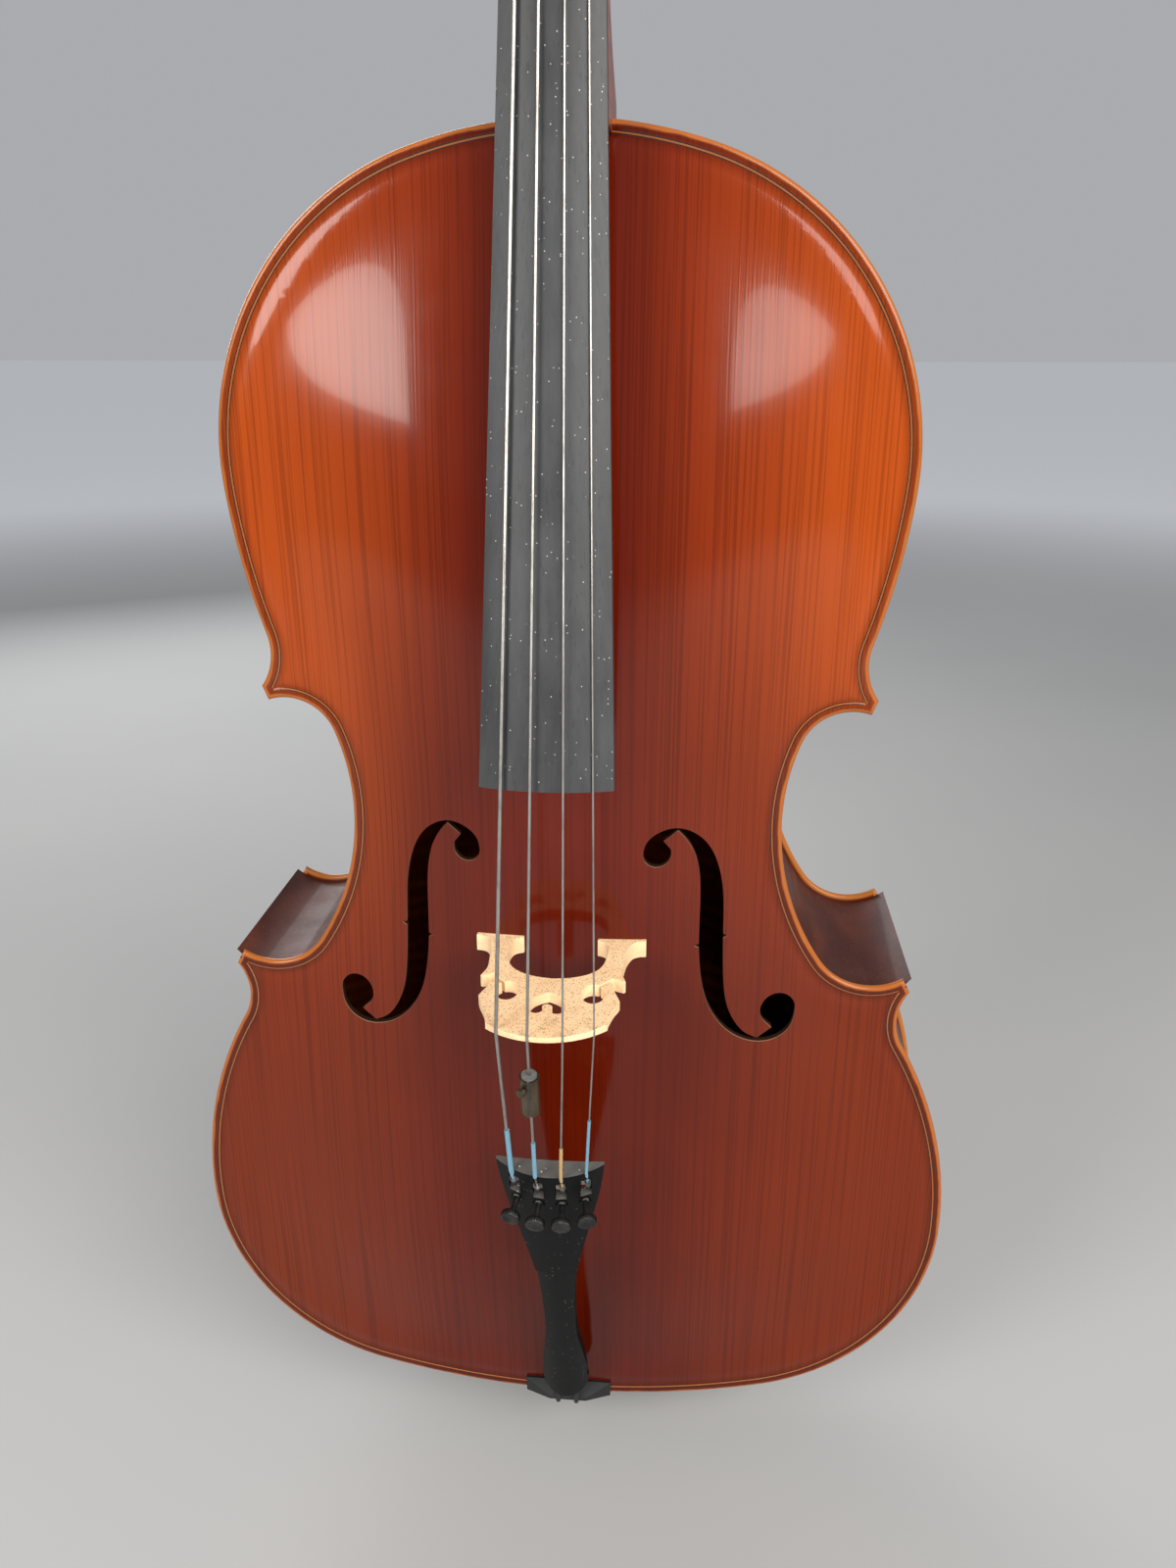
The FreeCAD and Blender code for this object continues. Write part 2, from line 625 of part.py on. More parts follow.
def bridge_side(hand, side_points):
    """One half of the bridge's face without the crown, as edges; hand is 1 for treble, -1 for bass."""
    def p(x, h):
        return V(hand * x, -h, 0)

    def spline(points):
        curve = Part.BSplineCurve()
        curve.interpolate([p(x, h) for x, h in points])
        return curve.toShape()

    x0, h0, half_width, half_height = EYE
    turn = []
    for step in range(15):
        angle = math.radians(EYE_OPENING[0] + (360 + EYE_OPENING[1] - EYE_OPENING[0]) * step / 14)
        turn.append((x0 + half_width * math.cos(angle), h0 + half_height * math.sin(angle)))
    arch_side = spline([(0, 60.4), (8, 59.3), (14, 57.4), (19.5, 54.2), (23.3, 50), (25.3, 45.5),
                        (26.4, 39.5), (26.8, 33.5), (26.3, 28.3), (24.2, 24.2), (20.4, 22.4)])
    foot = Part.makePolygon([p(20.4, 22.4), p(20.3, 14), p(46.9, 14), p(46.9, 21.3)]).Edges
    leg = spline([(46.9, 21.3), (43.0, 22.0), (40.5, 23.8), (38.6, 27.5), (37.0, 33.5), (36.1, 42),
                  (35.6, 49.5), (35.8, 53.5), (36.9, 57), (38.0, 60.2)])
    knob = Part.makePolygon([p(38.0, 60.2), p(37.0, 61.2), p(31.4, 58.7), p(*turn[-1])]).Edges
    saw_cut = Part.makeLine(p(*turn[0]), p(31.2, 61.3))
    wing = spline([(31.2, 61.3), (32.0, 65.5), (33.2, 70.1), (35.0, 74.6), (36.1, 77.6)])
    return [arch_side, leg, spline(turn), saw_cut, wing, spline(side_points)] + foot + knob


def heart():
    def p(x, h):
        return V(x, -h, -30)

    def half(side):
        curve = Part.BSplineCurve()
        points = [(0, 73.3), (5.8, 77.2), (8.7, 82.5), (9.1, 86.2), (7.6, 89.5), (5.2, 90.5), (2.7, 89.2),
                  (1.7, 86.6), (2.6, 84.6), (0, 82.5)]
        curve.interpolate([p(side * x, h) for x, h in points])
        return curve.toShape()

    return Part.Face(Part.Wire([half(1), half(-1)])).extrude(V(0, 0, 60))


def crown_height(x):
    """Height of the crown's arc at a place across the bridge."""
    circle = Part.Arc(*[V(px, ph, 0) for px, ph in CROWN_POINTS]).toShape().Curve
    return circle.Center.y + math.sqrt(circle.Radius ** 2 - (x - circle.Center.x) ** 2)


TREBLE_SIDE = [(36.1, 77.6), (35.5, 80), (34.1, 83.6), (32.5, 89.6), (31.5, 94.5), (31.3, 97.2)]
BASS_SIDE = [(36.1, 77.6), (35.3, 80.5), (34.0, 84.1), (31.6, 89.5), (29.6, 96.0), (28.7, 100.8)]


def build_bridge(tools):
    edges = bridge_side(1, TREBLE_SIDE) + bridge_side(-1, BASS_SIDE)
    crown = Part.Arc(*[V(x, -h, 0) for x, h in reversed(CROWN_POINTS)])
    face = Part.Face(Part.Wire(Part.__sortEdges__(edges + [crown.toShape()])))
    face.translate(V(0, 0, BRIDGE_Z - 5))
    slab = face.extrude(V(0, 0, 30))
    # From the side the bridge is a wedge with one upright face.
    crown_top = -CROWN_POINTS[1][1]
    wedge = prism([V(-60, -10, BRIDGE_Z), V(-60, -10, BRIDGE_Z + BRIDGE_FOOT),
                   V(-60, -30, BRIDGE_Z + BRIDGE_FOOT - 0.4), V(-60, crown_top, BRIDGE_Z + BRIDGE_CROWN),
                   V(-60, crown_top - 3, BRIDGE_Z + BRIDGE_CROWN), V(-60, crown_top - 3, BRIDGE_Z)],
                  V(120, 0, 0))
    opening = heart()
    opening.translate(V(0, 0, BRIDGE_Z))
    bridge = slab.common(wedge).cut(opening)
    bridge = bridge.cut(tools["behind_top_skin"])
    for s in STRINGS:
        for run in string_runs(s):
            bridge = bridge.cut(run)
    save("bridge", bridge)


# --- strings -----------------------------------------------
def string_points(s):
    """The string's centre line, from beside its peg, over the nut and the bridge, to its tuner."""
    r = STRING_RADIUS[s]
    reach = PEG_RADIUS_HEAD - 0.2 + 3 * r + 0.3
    peg = neck_point(WINDING_X[s] - 2, PEG_DEPTH - reach, PEG_UP[s])
    nut_top = neck_point(NUT_X[s], nut_depth(s) + 0.25, 6)
    nut_front = neck_point(NUT_X[s], nut_depth(s), 0)
    x = BRIDGE_X[s]
    bridge = V(x, -crown_height(x) - r + 0.4, BRIDGE_Z + BRIDGE_CROWN / 2)
    tail = tail_point(TAIL_X[s], tail_top(TAIL_X[s]) - r - 0.3, TAIL_LENGTH)
    ball = tail_point(TAIL_X[s], tail_top(TAIL_X[s]) + 3.2, TAIL_LENGTH - 14.2)
    return [peg, nut_top, nut_front, bridge, tail, ball]


def rods(points, radius):
    """A round bar along a chain of points, with a ball at each turn."""
    solids = []
    for a, b in zip(points, points[1:]):
        solids.append(cylinder(radius, a, b - a, (b - a).Length))
    for turn in points[1:-1]:
        solids.append(Part.makeSphere(radius, turn))
    return fused(solids)


def string_runs(s):
    points = string_points(s)
    return [rods(points[2:5], STRING_RADIUS[s])]


SILK_START = {"c": 44.0, "g": 40.0, "d": 36.0, "a": 52.0}
SILK_EXTRA = 0.35
BALL_RADIUS = 2.2


def build_strings():
    silks = {"blue": [], "yellow": []}
    for s in STRINGS:
        points = string_points(s)
        radius = STRING_RADIUS[s]
        string = rods(points, radius)
        last = points[-1]
        direction = points[-1] - points[-2]
        direction.normalize()
        ball = cylinder(BALL_RADIUS, last - direction * 0.3, direction, 3.0)
        silk_begin = points[4] + (points[3] - points[4]).normalize() * (SILK_START[s] - 14)
        silk = rods([silk_begin, points[4], last - direction * 0.5], radius + SILK_EXTRA)
        silks["yellow" if s == "d" else "blue"].append(silk.cut(rods(points, radius)))
        save("string_" + s, fused([string, ball]))
    save("silks_blue", group([solid for silk in silks["blue"] for solid in silk.Solids]))
    save("silk_yellow", group(silks["yellow"][0].Solids))


# --- tailpiece and its tuners -----------------------------------------------
def tail_place(shape):
    """Moves a shape from the tailpiece's own upright frame, with its origin at the foot, into place."""
    out = shape.copy()
    out.rotate(V(0, 0, 0), X_AXIS, TAIL_LEAN)
    out.translate(V(0, TAIL_FOOT_Y, TAIL_FOOT_Z))
    return out


def tail_point(x, y, z):
    angle = math.radians(TAIL_LEAN)
    return V(x, TAIL_FOOT_Y + y * math.cos(angle) - z * math.sin(angle),
             TAIL_FOOT_Z + y * math.sin(angle) + z * math.cos(angle))


def tail_top(x):
    """The round front of the tailpiece's head, behind its highest line."""
    return TAIL_RADIUS - math.sqrt(TAIL_RADIUS ** 2 - x ** 2)


def tuner_place(s):
    """Where a tuner's screw stands in the tailpiece's frame, and its direction out of the face."""
    x = TAIL_X[s] * 0.93
    angle = x * TUNER_SPLAY
    return V(x, tail_top(x), TAIL_LENGTH - TUNER_DOWN), V(math.sin(angle), -math.cos(angle), 0)


def tailpiece():
    right = [(14.0, 20), (13.9, 34), (12.2, 52), (9.8, 75), (9.4, 100), (10.4, 130), (13.2, 158),
             (17.0, 178), (21.5, 200), (26.0, 222), (TAIL_WIDTH / 2, TAIL_LENGTH)]
    flank = Part.BSplineCurve()
    flank.interpolate([V(x, -10, z) for x, z in right])
    edge = flank.toShape()
    foot = Part.Arc(V(14.0, -10, 20), V(0, -10, 0), V(-14.0, -10, 20)).toShape()
    head = Part.Arc(V(TAIL_WIDTH / 2, -10, TAIL_LENGTH), V(0, -10, TAIL_LENGTH - 1.5),
                    V(-TAIL_WIDTH / 2, -10, TAIL_LENGTH)).toShape()
    outline = Part.Face(Part.Wire(Part.__sortEdges__([edge, mirror_x(edge), foot, head])))
    slab = outline.extrude(V(0, 30, 0))
    barrel = cylinder(TAIL_RADIUS, V(0, TAIL_RADIUS, -5), Z_AXIS, TAIL_LENGTH + 10)
    rounded = cylinder(19.0, V(0, 19.0, -5), Z_AXIS, 185)
    body = slab.common(barrel)
    slim = body.common(box(-40, 40, -10, TAIL_THICK, -5, 150)).common(rounded)
    wide = body.common(box(-40, 40, -10, TAIL_THICK + 1, 150, TAIL_LENGTH + 5))
    under = cylinder(70, V(0, 70 + 6.0, 168), Z_AXIS, 100)
    wide = wide.cut(under.common(box(-22, 22, -10, 40, 168, TAIL_LENGTH - 6)))
    whole = fused([slim, wide])
    for s in STRINGS:
        whole = whole.cut(tuner_slot(s))
        base, out = tuner_place(s)
        boss = cylinder(3.4, base + out * -5.0, out, 6.0)
        whole = whole.fuse(boss).cut(cylinder(SCREW_RADIUS + 0.06, base + out * -12, out, 20))
    whole = whole.cut(gut_holes())
    return whole


def lever_span(s, room):
    """The lowest and highest x of a tuner's lever, with some room on both sides."""
    x = TAIL_X[s]
    if x > 0:
        return x - LEVER_INNER - room, x + LEVER_OUTER + room
    return x - LEVER_OUTER - room, x + LEVER_INNER + room


def tuner_slot(s):
    """The gap that a tuner's lever works in, open in front near the string's end and open behind."""
    x0, x1 = lever_span(s, SLOT_ROOM)
    y = tail_top(TAIL_X[s])
    top = TAIL_LENGTH
    front = box(x0, x1, -5, 30, top - 21, top - 7)
    behind = box(x0, x1, y + 5.2, 30, top - 33, top - 7)
    return fused([front, behind])


def gut_holes():
    """Two holes at the foot, where the tail gut's ends come up behind the tailpiece."""
    holes = []
    for side in (-1, 1):
        holes.append(cylinder(GUT_RADIUS, V(side * GUT_HALF, 7.0, -3), Z_AXIS, 33))
    return fused(holes)


PIN_DOWN = 17.5
PIN_DEPTH = 7.6
SCREW_REACH = 6.2


def tuner_lever(s):
    """The lever: a fork that holds the string's ball, a pivot, and an arm under the screw's tip."""
    x0, x1 = lever_span(s, 0)
    x = TAIL_X[s]
    y = tail_top(x)
    top = TAIL_LENGTH
    side = [(0.6, 9.5), (4.2, 8.6), (10.4, 15.5), (10.4, 31), (8.2, 31), (5.2, 19), (0.6, 12.8)]
    lever = prism([V(x0, y + depth, top - down) for depth, down in side], V(x1 - x0, 0, 0))
    groove = STRING_RADIUS[s] + SILK_EXTRA + 0.35
    lever = lever.cut(box(x - groove, x + groove, -10, y + 6.0, top - 30, top - 5))
    pocket = BALL_RADIUS + 0.4
    return lever.cut(box(x - pocket, x + pocket, -10, y + 7.0, top - 20, top - 13.0))


def build_tuners():
    pins = []
    for s in STRINGS:
        base, out = tuner_place(s)
        x0, x1 = lever_span(s, 2.5)
        pin_start = V(x0, tail_top(TAIL_X[s]) + PIN_DEPTH, TAIL_LENGTH - PIN_DOWN)
        lever = tuner_lever(s).cut(cylinder(1.05, pin_start, X_AXIS, x1 - x0))
        pins.append(cylinder(1.0, pin_start, X_AXIS, x1 - x0))
        shaft = cylinder(SCREW_RADIUS, base - out * SCREW_REACH, out, SCREW_REACH + 11)
        collar = cylinder(2.3, base + out * 7.7, out, 2.0)
        knob = cylinder(KNOB_RADIUS, base + out * 9.5, out, 4.2)
        knob = knob.cut(Part.makeSphere(9, base + out * 21.6))
        save("tuner_screw_" + s, tail_place(fused([shaft, collar, knob])))
        save("tuner_lever_" + s, tail_place(lever))
    return pins


GUT_RADIUS = 1.6
GUT_HALF = 6.0
GUT_LOOP = 14.0             # radius of the gut's turn round the collar, and where it starts
GUT_LOOP_START = math.radians(15)
GUT_STEPS = 10
SADDLE_TOP = -7.0
SADDLE_HALF = 28.0


def saddle_shape():
    """The saddle in the body's lower edge, with a ridge in its middle and a bevel towards each end."""
    block = box(-SADDLE_HALF, SADDLE_HALF, SADDLE_TOP, PLATE, 0, 10.5)
    slope = prism([V(-40, SADDLE_TOP, 2.2), V(-40, -0.8, 10.5), V(-40, -20, 11), V(-40, -20, 2.2)],
                  V(80, 0, 0))
    block = block.cut(slope)
    for side in (-1, 1):
        end = prism([V(side * 12, SADDLE_TOP, -1), V(side * 29, -0.6, -1), V(side * 29, -20, -1),
                     V(side * 12, -20, -1)], V(0, 0, 20))
        block = block.cut(end)
    return block


def gut_points():
    """The tail gut's run: from the tailpiece over the saddle, round the endpin's collar and back up."""
    down = []
    for y, z in ((7.0, 26), (7.0, 0)):
        down.append(tail_point(GUT_HALF, y, z))
    down.append(V(GUT_HALF, SADDLE_TOP - GUT_RADIUS, 1.8))
    down.append(V(GUT_HALF, 2.0, -GUT_RADIUS - 0.4))
    loop = []
    for step in range(GUT_STEPS + 1):
        angle = -GUT_LOOP_START + (math.pi + 2 * GUT_LOOP_START) * step / GUT_STEPS
        loop.append(V(GUT_LOOP * math.cos(angle), ENDPIN_Y + GUT_LOOP * math.sin(angle), 1.0 - GUT_RADIUS))
    up = [V(-p.x, p.y, p.z) for p in reversed(down)]
    return down + loop + up


def cord(points, radius):
    """A round cord along a chain of points, mitred at each turn."""
    path = Part.Wire(Part.makePolygon(points).Edges)
    section = Part.Wire(Part.Circle(points[0], points[1] - points[0], radius).toShape())
    return path.makePipeShell([section], True, True, 1)


def build_tail(saddle):
    pins = build_tuners()
    body = tailpiece()
    for pin in pins:
        body = body.cut(pin)
    body = tail_place(body)
    for s in STRINGS:
        points = string_points(s)[3:]
        body = body.cut(rods(points, STRING_RADIUS[s] + SILK_EXTRA + 0.05))
    gut = cord(gut_points(), GUT_RADIUS)
    save("tailpiece", body.cut(gut))
    save("tuner_pins", tail_place(group(pins)))
    save("saddle", saddle.cut(gut))
    save("tail_gut", gut)
    return gut


# --- endpin -----------------------------------------------
def plug_shape():
    """The tapered plug that fills the hole in the bottom block."""
    return Part.makeCone(PLUG_RADIUS + 0.8, PLUG_RADIUS, 36, V(0, ENDPIN_Y, 0), Z_AXIS)


def build_endpin(plug, gut):
    rib_level = OVERHANG
    collar = cylinder(COLLAR_RADIUS, V(0, ENDPIN_Y, rib_level - COLLAR_DEPTH), Z_AXIS, COLLAR_DEPTH)
    groove = Part.makeTorus(COLLAR_RADIUS, GUT_RADIUS + 0.6, V(0, ENDPIN_Y, 1.0 - GUT_RADIUS), Z_AXIS)
    bore = cylinder(ENDPIN_RADIUS + 0.08, V(0, ENDPIN_Y, -40), Z_AXIS, 100)
    screw_z = rib_level - 11
    screw_hole = cylinder(2.56, V(0, ENDPIN_Y, screw_z), X_AXIS, 40)
    socket = fused([collar, plug]).cut(bore).cut(groove).cut(screw_hole).cut(gut)
    save("endpin_socket", socket)

    shank = cylinder(2.5, V(ENDPIN_RADIUS + 0.4, ENDPIN_Y, screw_z), X_AXIS, 16)
    head = cylinder(5.5, V(18.5, ENDPIN_Y, screw_z), X_AXIS, 3)
    grip = box(21, 31, ENDPIN_Y - 1.8, ENDPIN_Y + 1.8, screw_z - 6.5, screw_z + 6.5)
    grip = grip.common(cylinder(6.5, V(0, ENDPIN_Y, screw_z), X_AXIS, 40))
    save("endpin_screw", fused([shank, head, grip]))

    tip_top = rib_level - COLLAR_DEPTH - 18
    rod = cylinder(ENDPIN_RADIUS, V(0, ENDPIN_Y, tip_top), Z_AXIS, ENDPIN_TOP - tip_top)
    spike = Part.makeCone(1.0, 3.0, 8, V(0, ENDPIN_Y, tip_top - 8), Z_AXIS)
    save("endpin_rod", fused([rod, spike]))
    tip = Part.makeSphere(9.0, V(0, ENDPIN_Y, tip_top - 8))
    tip = tip.common(box(-20, 20, 0, 130, tip_top - 15, tip_top))
    save("endpin_tip", tip.cut(fused([rod, spike])))


# --- wolf tone eliminator -----------------------------------------------
WOLF_LENGTH = 24.0
WOLF_RADIUS = 5.0
WOLF_FROM_BRIDGE = 24.0


def build_wolf():
    points = string_points("g")
    direction = (points[4] - points[3]).normalize()
    start = points[3] + direction * WOLF_FROM_BRIDGE
    tube = cylinder(WOLF_RADIUS, start, direction, WOLF_LENGTH)
    tube = tube.cut(cylinder(WOLF_RADIUS - 1.1, start, direction, WOLF_LENGTH))
    sleeve = cylinder(WOLF_RADIUS - 1.1, start - direction * 1.0, direction, WOLF_LENGTH + 2.0)
    sleeve = sleeve.cut(cylinder(STRING_RADIUS["g"] + 0.05, start - direction * 5, direction, 60))
    side = direction.cross(V(0, 0, 1)).normalize()
    slit = Part.makeBox(WOLF_LENGTH + 4, 1.2, 20)
    frame = FreeCAD.Rotation(direction, side, side.cross(direction), "XYZ")
    slit.Placement = FreeCAD.Placement(start - direction * 2, frame)
    slit.translate(side * -0.6)
    screw_at = start + direction * 6.0
    out = (side.cross(direction) * -1 + side * -0.6).normalize()
    hole = cylinder(1.56, screw_at, out, 10)
    save("wolf_tube", tube.cut(slit).cut(hole))
    save("wolf_sleeve", sleeve.cut(hole))
    shank = cylinder(1.5, screw_at + out * 1.8, out, 5.0)
    head = cylinder(2.4, screw_at + out * 6.0, out, 2.0)
    save("wolf_screw", fused([shank, head]))


# --- the whole instrument -----------------------------------------------
os.makedirs("parts", exist_ok=True)
neck_solid = build_neck()
saddle_solid = saddle_shape()
plug_solid = plug_shape()
plate_tools = build_plates(neck_solid, saddle_solid)
build_ribs(neck_solid, plug_solid)
build_inside(plate_tools, neck_solid, plug_solid)
build_fingerboard()
build_nut()
build_pegs()
build_bridge(plate_tools)
build_strings()
gut_solid = build_tail(saddle_solid)
build_endpin(plug_solid, gut_solid)
build_wolf()
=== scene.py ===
import math

import bpy
import bmesh
import numpy as np
from mathutils import Matrix, Vector
from mathutils.geometry import delaunay_2d_cdt


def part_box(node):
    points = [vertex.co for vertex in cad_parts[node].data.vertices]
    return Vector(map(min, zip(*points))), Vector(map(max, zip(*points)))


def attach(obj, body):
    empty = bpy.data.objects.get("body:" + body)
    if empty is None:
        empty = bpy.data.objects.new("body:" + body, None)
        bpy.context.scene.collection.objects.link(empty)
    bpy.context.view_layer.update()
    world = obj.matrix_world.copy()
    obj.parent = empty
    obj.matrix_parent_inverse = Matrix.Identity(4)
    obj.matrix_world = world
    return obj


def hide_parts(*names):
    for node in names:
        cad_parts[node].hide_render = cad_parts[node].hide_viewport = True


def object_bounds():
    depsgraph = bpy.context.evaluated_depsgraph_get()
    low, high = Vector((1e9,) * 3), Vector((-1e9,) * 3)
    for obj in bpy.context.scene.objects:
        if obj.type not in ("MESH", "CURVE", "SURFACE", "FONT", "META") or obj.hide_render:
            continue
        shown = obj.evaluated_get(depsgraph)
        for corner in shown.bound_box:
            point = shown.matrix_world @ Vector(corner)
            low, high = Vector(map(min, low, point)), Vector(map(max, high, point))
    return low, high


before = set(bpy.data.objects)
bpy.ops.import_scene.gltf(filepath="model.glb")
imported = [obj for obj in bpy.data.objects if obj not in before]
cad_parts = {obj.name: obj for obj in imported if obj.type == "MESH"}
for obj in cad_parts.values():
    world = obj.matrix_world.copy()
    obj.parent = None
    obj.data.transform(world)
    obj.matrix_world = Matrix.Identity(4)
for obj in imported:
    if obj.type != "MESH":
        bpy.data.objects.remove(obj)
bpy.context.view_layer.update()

# The looks of a full-size cello: arched and purfled plates, ribs, a carved neck and scroll, and the
# fittings.  Sizes are the maker's millimetres, laid out from the lower edge of the body (z = 0) and the
# front plane of the top's edge (y = 0); home() moves them to the frame's own place, in metres.

PLATE = 4.5
MM = 0.001
BODY_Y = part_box("rib_lower_bass")[0].y - PLATE * MM
BODY_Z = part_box("back_plate")[0].z
STRINGS = ["c", "g", "d", "a"]


def home(points):
    """Points of the layout, in millimetres, as places in the frame."""
    return np.asarray(points, float) * MM + np.array([0.0, BODY_Y, BODY_Z])


# --- the outline -----------------------------------------------
BODY_LENGTH = 755.0
BODY_DEPTH = 122.5
ARCH = 20.5
OVERHANG = 4.0
RIB = 1.5
PURFLING_INSET = 4.5

# Half outline as chains of tangent arcs, (radius, sweep in degrees); a positive sweep turns to the body.
UPPER_BOUT = [(234.07, 17.83), (147.55, 76.77), (354.69, 12.6), (32.39, -54.22)]
LOWER_BOUT = [(477.24, 15.1), (140.6, 73.78), (250.5, 31.27), (33.15, -63.97)]
WAIST_UP = [(128.84, -20.13), (27.55, -89.0)]
WAIST_DOWN = [(148.86, -34.5), (34.01, -88.58)]
WAIST = (118.26, 417.23)
UPPER_CORNER = (162.5, 482.0)
LOWER_CORNER = (193.5, 319.5)


def walk(x, z, heading, turn, arcs):
    """Follows a chain of arcs: centre, radius, first and last angle, and growth of the radius inwards."""
    out = []
    for radius, sweep in arcs:
        side = turn if sweep > 0 else -turn
        cx = x - side * radius * math.sin(heading)
        cz = z + side * radius * math.cos(heading)
        start = heading - side * math.pi / 2
        end = start + side * math.radians(abs(sweep))
        out.append([cx, cz, radius, start, end, -1 if sweep > 0 else 1])
        heading += side * math.radians(abs(sweep))
        x = cx + radius * math.cos(end)
        z = cz + radius * math.sin(end)
    return out


def trim(a, b, near):
    """Ends two arcs where their circles cross near a point."""
    dx, dz = b[0] - a[0], b[1] - a[1]
    gap = math.hypot(dx, dz)
    along = (a[2] ** 2 - b[2] ** 2 + gap ** 2) / (2 * gap)
    off = math.sqrt(a[2] ** 2 - along ** 2)
    places = []
    for sign in (1, -1):
        x = a[0] + along * dx / gap - sign * off * dz / gap
        z = a[1] + along * dz / gap + sign * off * dx / gap
        places.append((math.hypot(x - near[0], z - near[1]), x, z))
    _, x, z = min(places)
    for arc in (a, b):
        angle = math.atan2(z - arc[1], x - arc[0])
        arc[4] = arc[3] + math.remainder(angle - arc[3], 2 * math.pi)


def half_chains(inset=0.0):
    """The four chains of the treble half: upper bout, waist up, waist down, lower bout."""
    chains = [walk(0, BODY_LENGTH, 0, -1, UPPER_BOUT), walk(*WAIST, math.pi / 2, 1, WAIST_UP),
              walk(*WAIST, -math.pi / 2, -1, WAIST_DOWN), walk(0, 0, 0, 1, LOWER_BOUT)]
    for chain in chains:
        for arc in chain:
            arc[2] += arc[5] * inset
    if inset > 0:
        trim(chains[0][-1], chains[1][-1], UPPER_CORNER)
        trim(chains[3][-1], chains[2][-1], LOWER_CORNER)
    return chains


def chain_points(chain, step=1.6):
    """Points along a chain; how many doesn't depend on its inset."""
    points = []
    for arc in chain:
        count = max(8, int(abs(arc[4] - arc[3]) * arc[2] / step))
        for angle in np.linspace(arc[3], arc[4], count + 1)[0 if not points else 1:]:
            points.append((arc[0] + arc[2] * math.cos(angle), arc[1] + arc[2] * math.sin(angle)))
    return points


def even(points, step):
    """A polyline's points moved to even spacing."""
    points = np.asarray(points, float)
    lengths = np.hypot(*np.diff(points, axis=0).T)
    travelled = np.concatenate([[0], np.cumsum(lengths)])
    places = np.linspace(0, travelled[-1], max(2, int(round(travelled[-1] / step)) + 1))
    return np.column_stack([np.interp(places, travelled, points[:, i]) for i in range(points.shape[1])])


def outline(inset=0.0, step=1.6):
    """The closed outline of a plate, clockwise from the top of the centre line."""
    upper, up, down, lower = [chain_points(c, step) for c in half_chains(inset)]
    right = upper + up[::-1] + down[1:] + lower[::-1]
    tidy = [right[0]]
    for point in right[1:]:
        if math.dist(point, tidy[-1]) > 0.3:
            tidy.append(point)
    tidy = np.array(tidy)
    left = tidy[1:-1][::-1] * [-1, 1]
    return np.vstack([tidy, left])


def inward(loop, distance):
    """A clockwise loop moved to its inside, mitred."""
    ahead = np.roll(loop, -1, axis=0) - loop
    ahead /= np.linalg.norm(ahead, axis=1)[:, None]
    normal = np.column_stack([ahead[:, 1], -ahead[:, 0]])
    before = np.roll(normal, 1, axis=0)
    mean = normal + before
    mean /= np.linalg.norm(mean, axis=1)[:, None]
    stretch = np.minimum(1.45, 1 / np.maximum(0.2, (mean * normal).sum(axis=1)))
    return loop + mean * (stretch * distance)[:, None]


def off_line(points, loop):
    """Each point's distance from a closed loop."""
    out = np.empty(len(points))
    a = loop
    run = np.roll(loop, -1, axis=0) - loop
    for start in range(0, len(points), 2000):
        part = points[start:start + 2000]
        gap = part[:, None, :] - a[None, :, :]
        along = np.clip((gap * run).sum(2) / (run * run).sum(1), 0, 1)
        out[start:start + 2000] = np.sqrt(((gap - along[:, :, None] * run) ** 2).sum(2).min(1))
    return out


def inside(points, loop):
    """Which points a closed loop goes round."""
    x, z = points[:, 0], points[:, 1]
    within = np.zeros(len(points), bool)
    for (x0, z0), (x1, z1) in zip(loop, np.roll(loop, -1, axis=0)):
        if z0 == z1:
            continue
        crosses = (z0 > z) != (z1 > z)
        within ^= crosses & (x < (x1 - x0) * (z - z0) / (z1 - z0) + x0)
    return within


def natural_spline(stations, values):
    """A function through the stations, by the natural cubic spline."""
    t, v = np.asarray(stations, float), np.asarray(values, float)
    h = np.diff(t)
    count = len(t)
    system = np.eye(count)
    right = np.zeros(count)
    for i in range(1, count - 1):
        system[i, i - 1:i + 2] = h[i - 1], 2 * (h[i - 1] + h[i]), h[i]
        right[i] = 6 * ((v[i + 1] - v[i]) / h[i] - (v[i] - v[i - 1]) / h[i - 1])
    bend = np.linalg.solve(system, right)

    def value(x):
        x = np.asarray(x, float)
        i = np.clip(np.searchsorted(t, x) - 1, 0, count - 2)
        a, b = (t[i + 1] - x) / h[i], (x - t[i]) / h[i]
        return a * v[i] + b * v[i + 1] + ((a ** 3 - a) * bend[i] + (b ** 3 - b) * bend[i + 1]) * h[i] ** 2 / 6

    return value


def through(points, step=1.2):
    """A smooth line through a few points."""
    points = np.asarray(points, float)
    travelled = np.concatenate([[0], np.cumsum(np.linalg.norm(np.diff(points, axis=0), axis=1))])
    fine = np.linspace(0, travelled[-1], max(3, int(travelled[-1] / step)) + 1)
    return np.column_stack([natural_spline(travelled, points[:, i])(fine) for i in range(points.shape[1])])


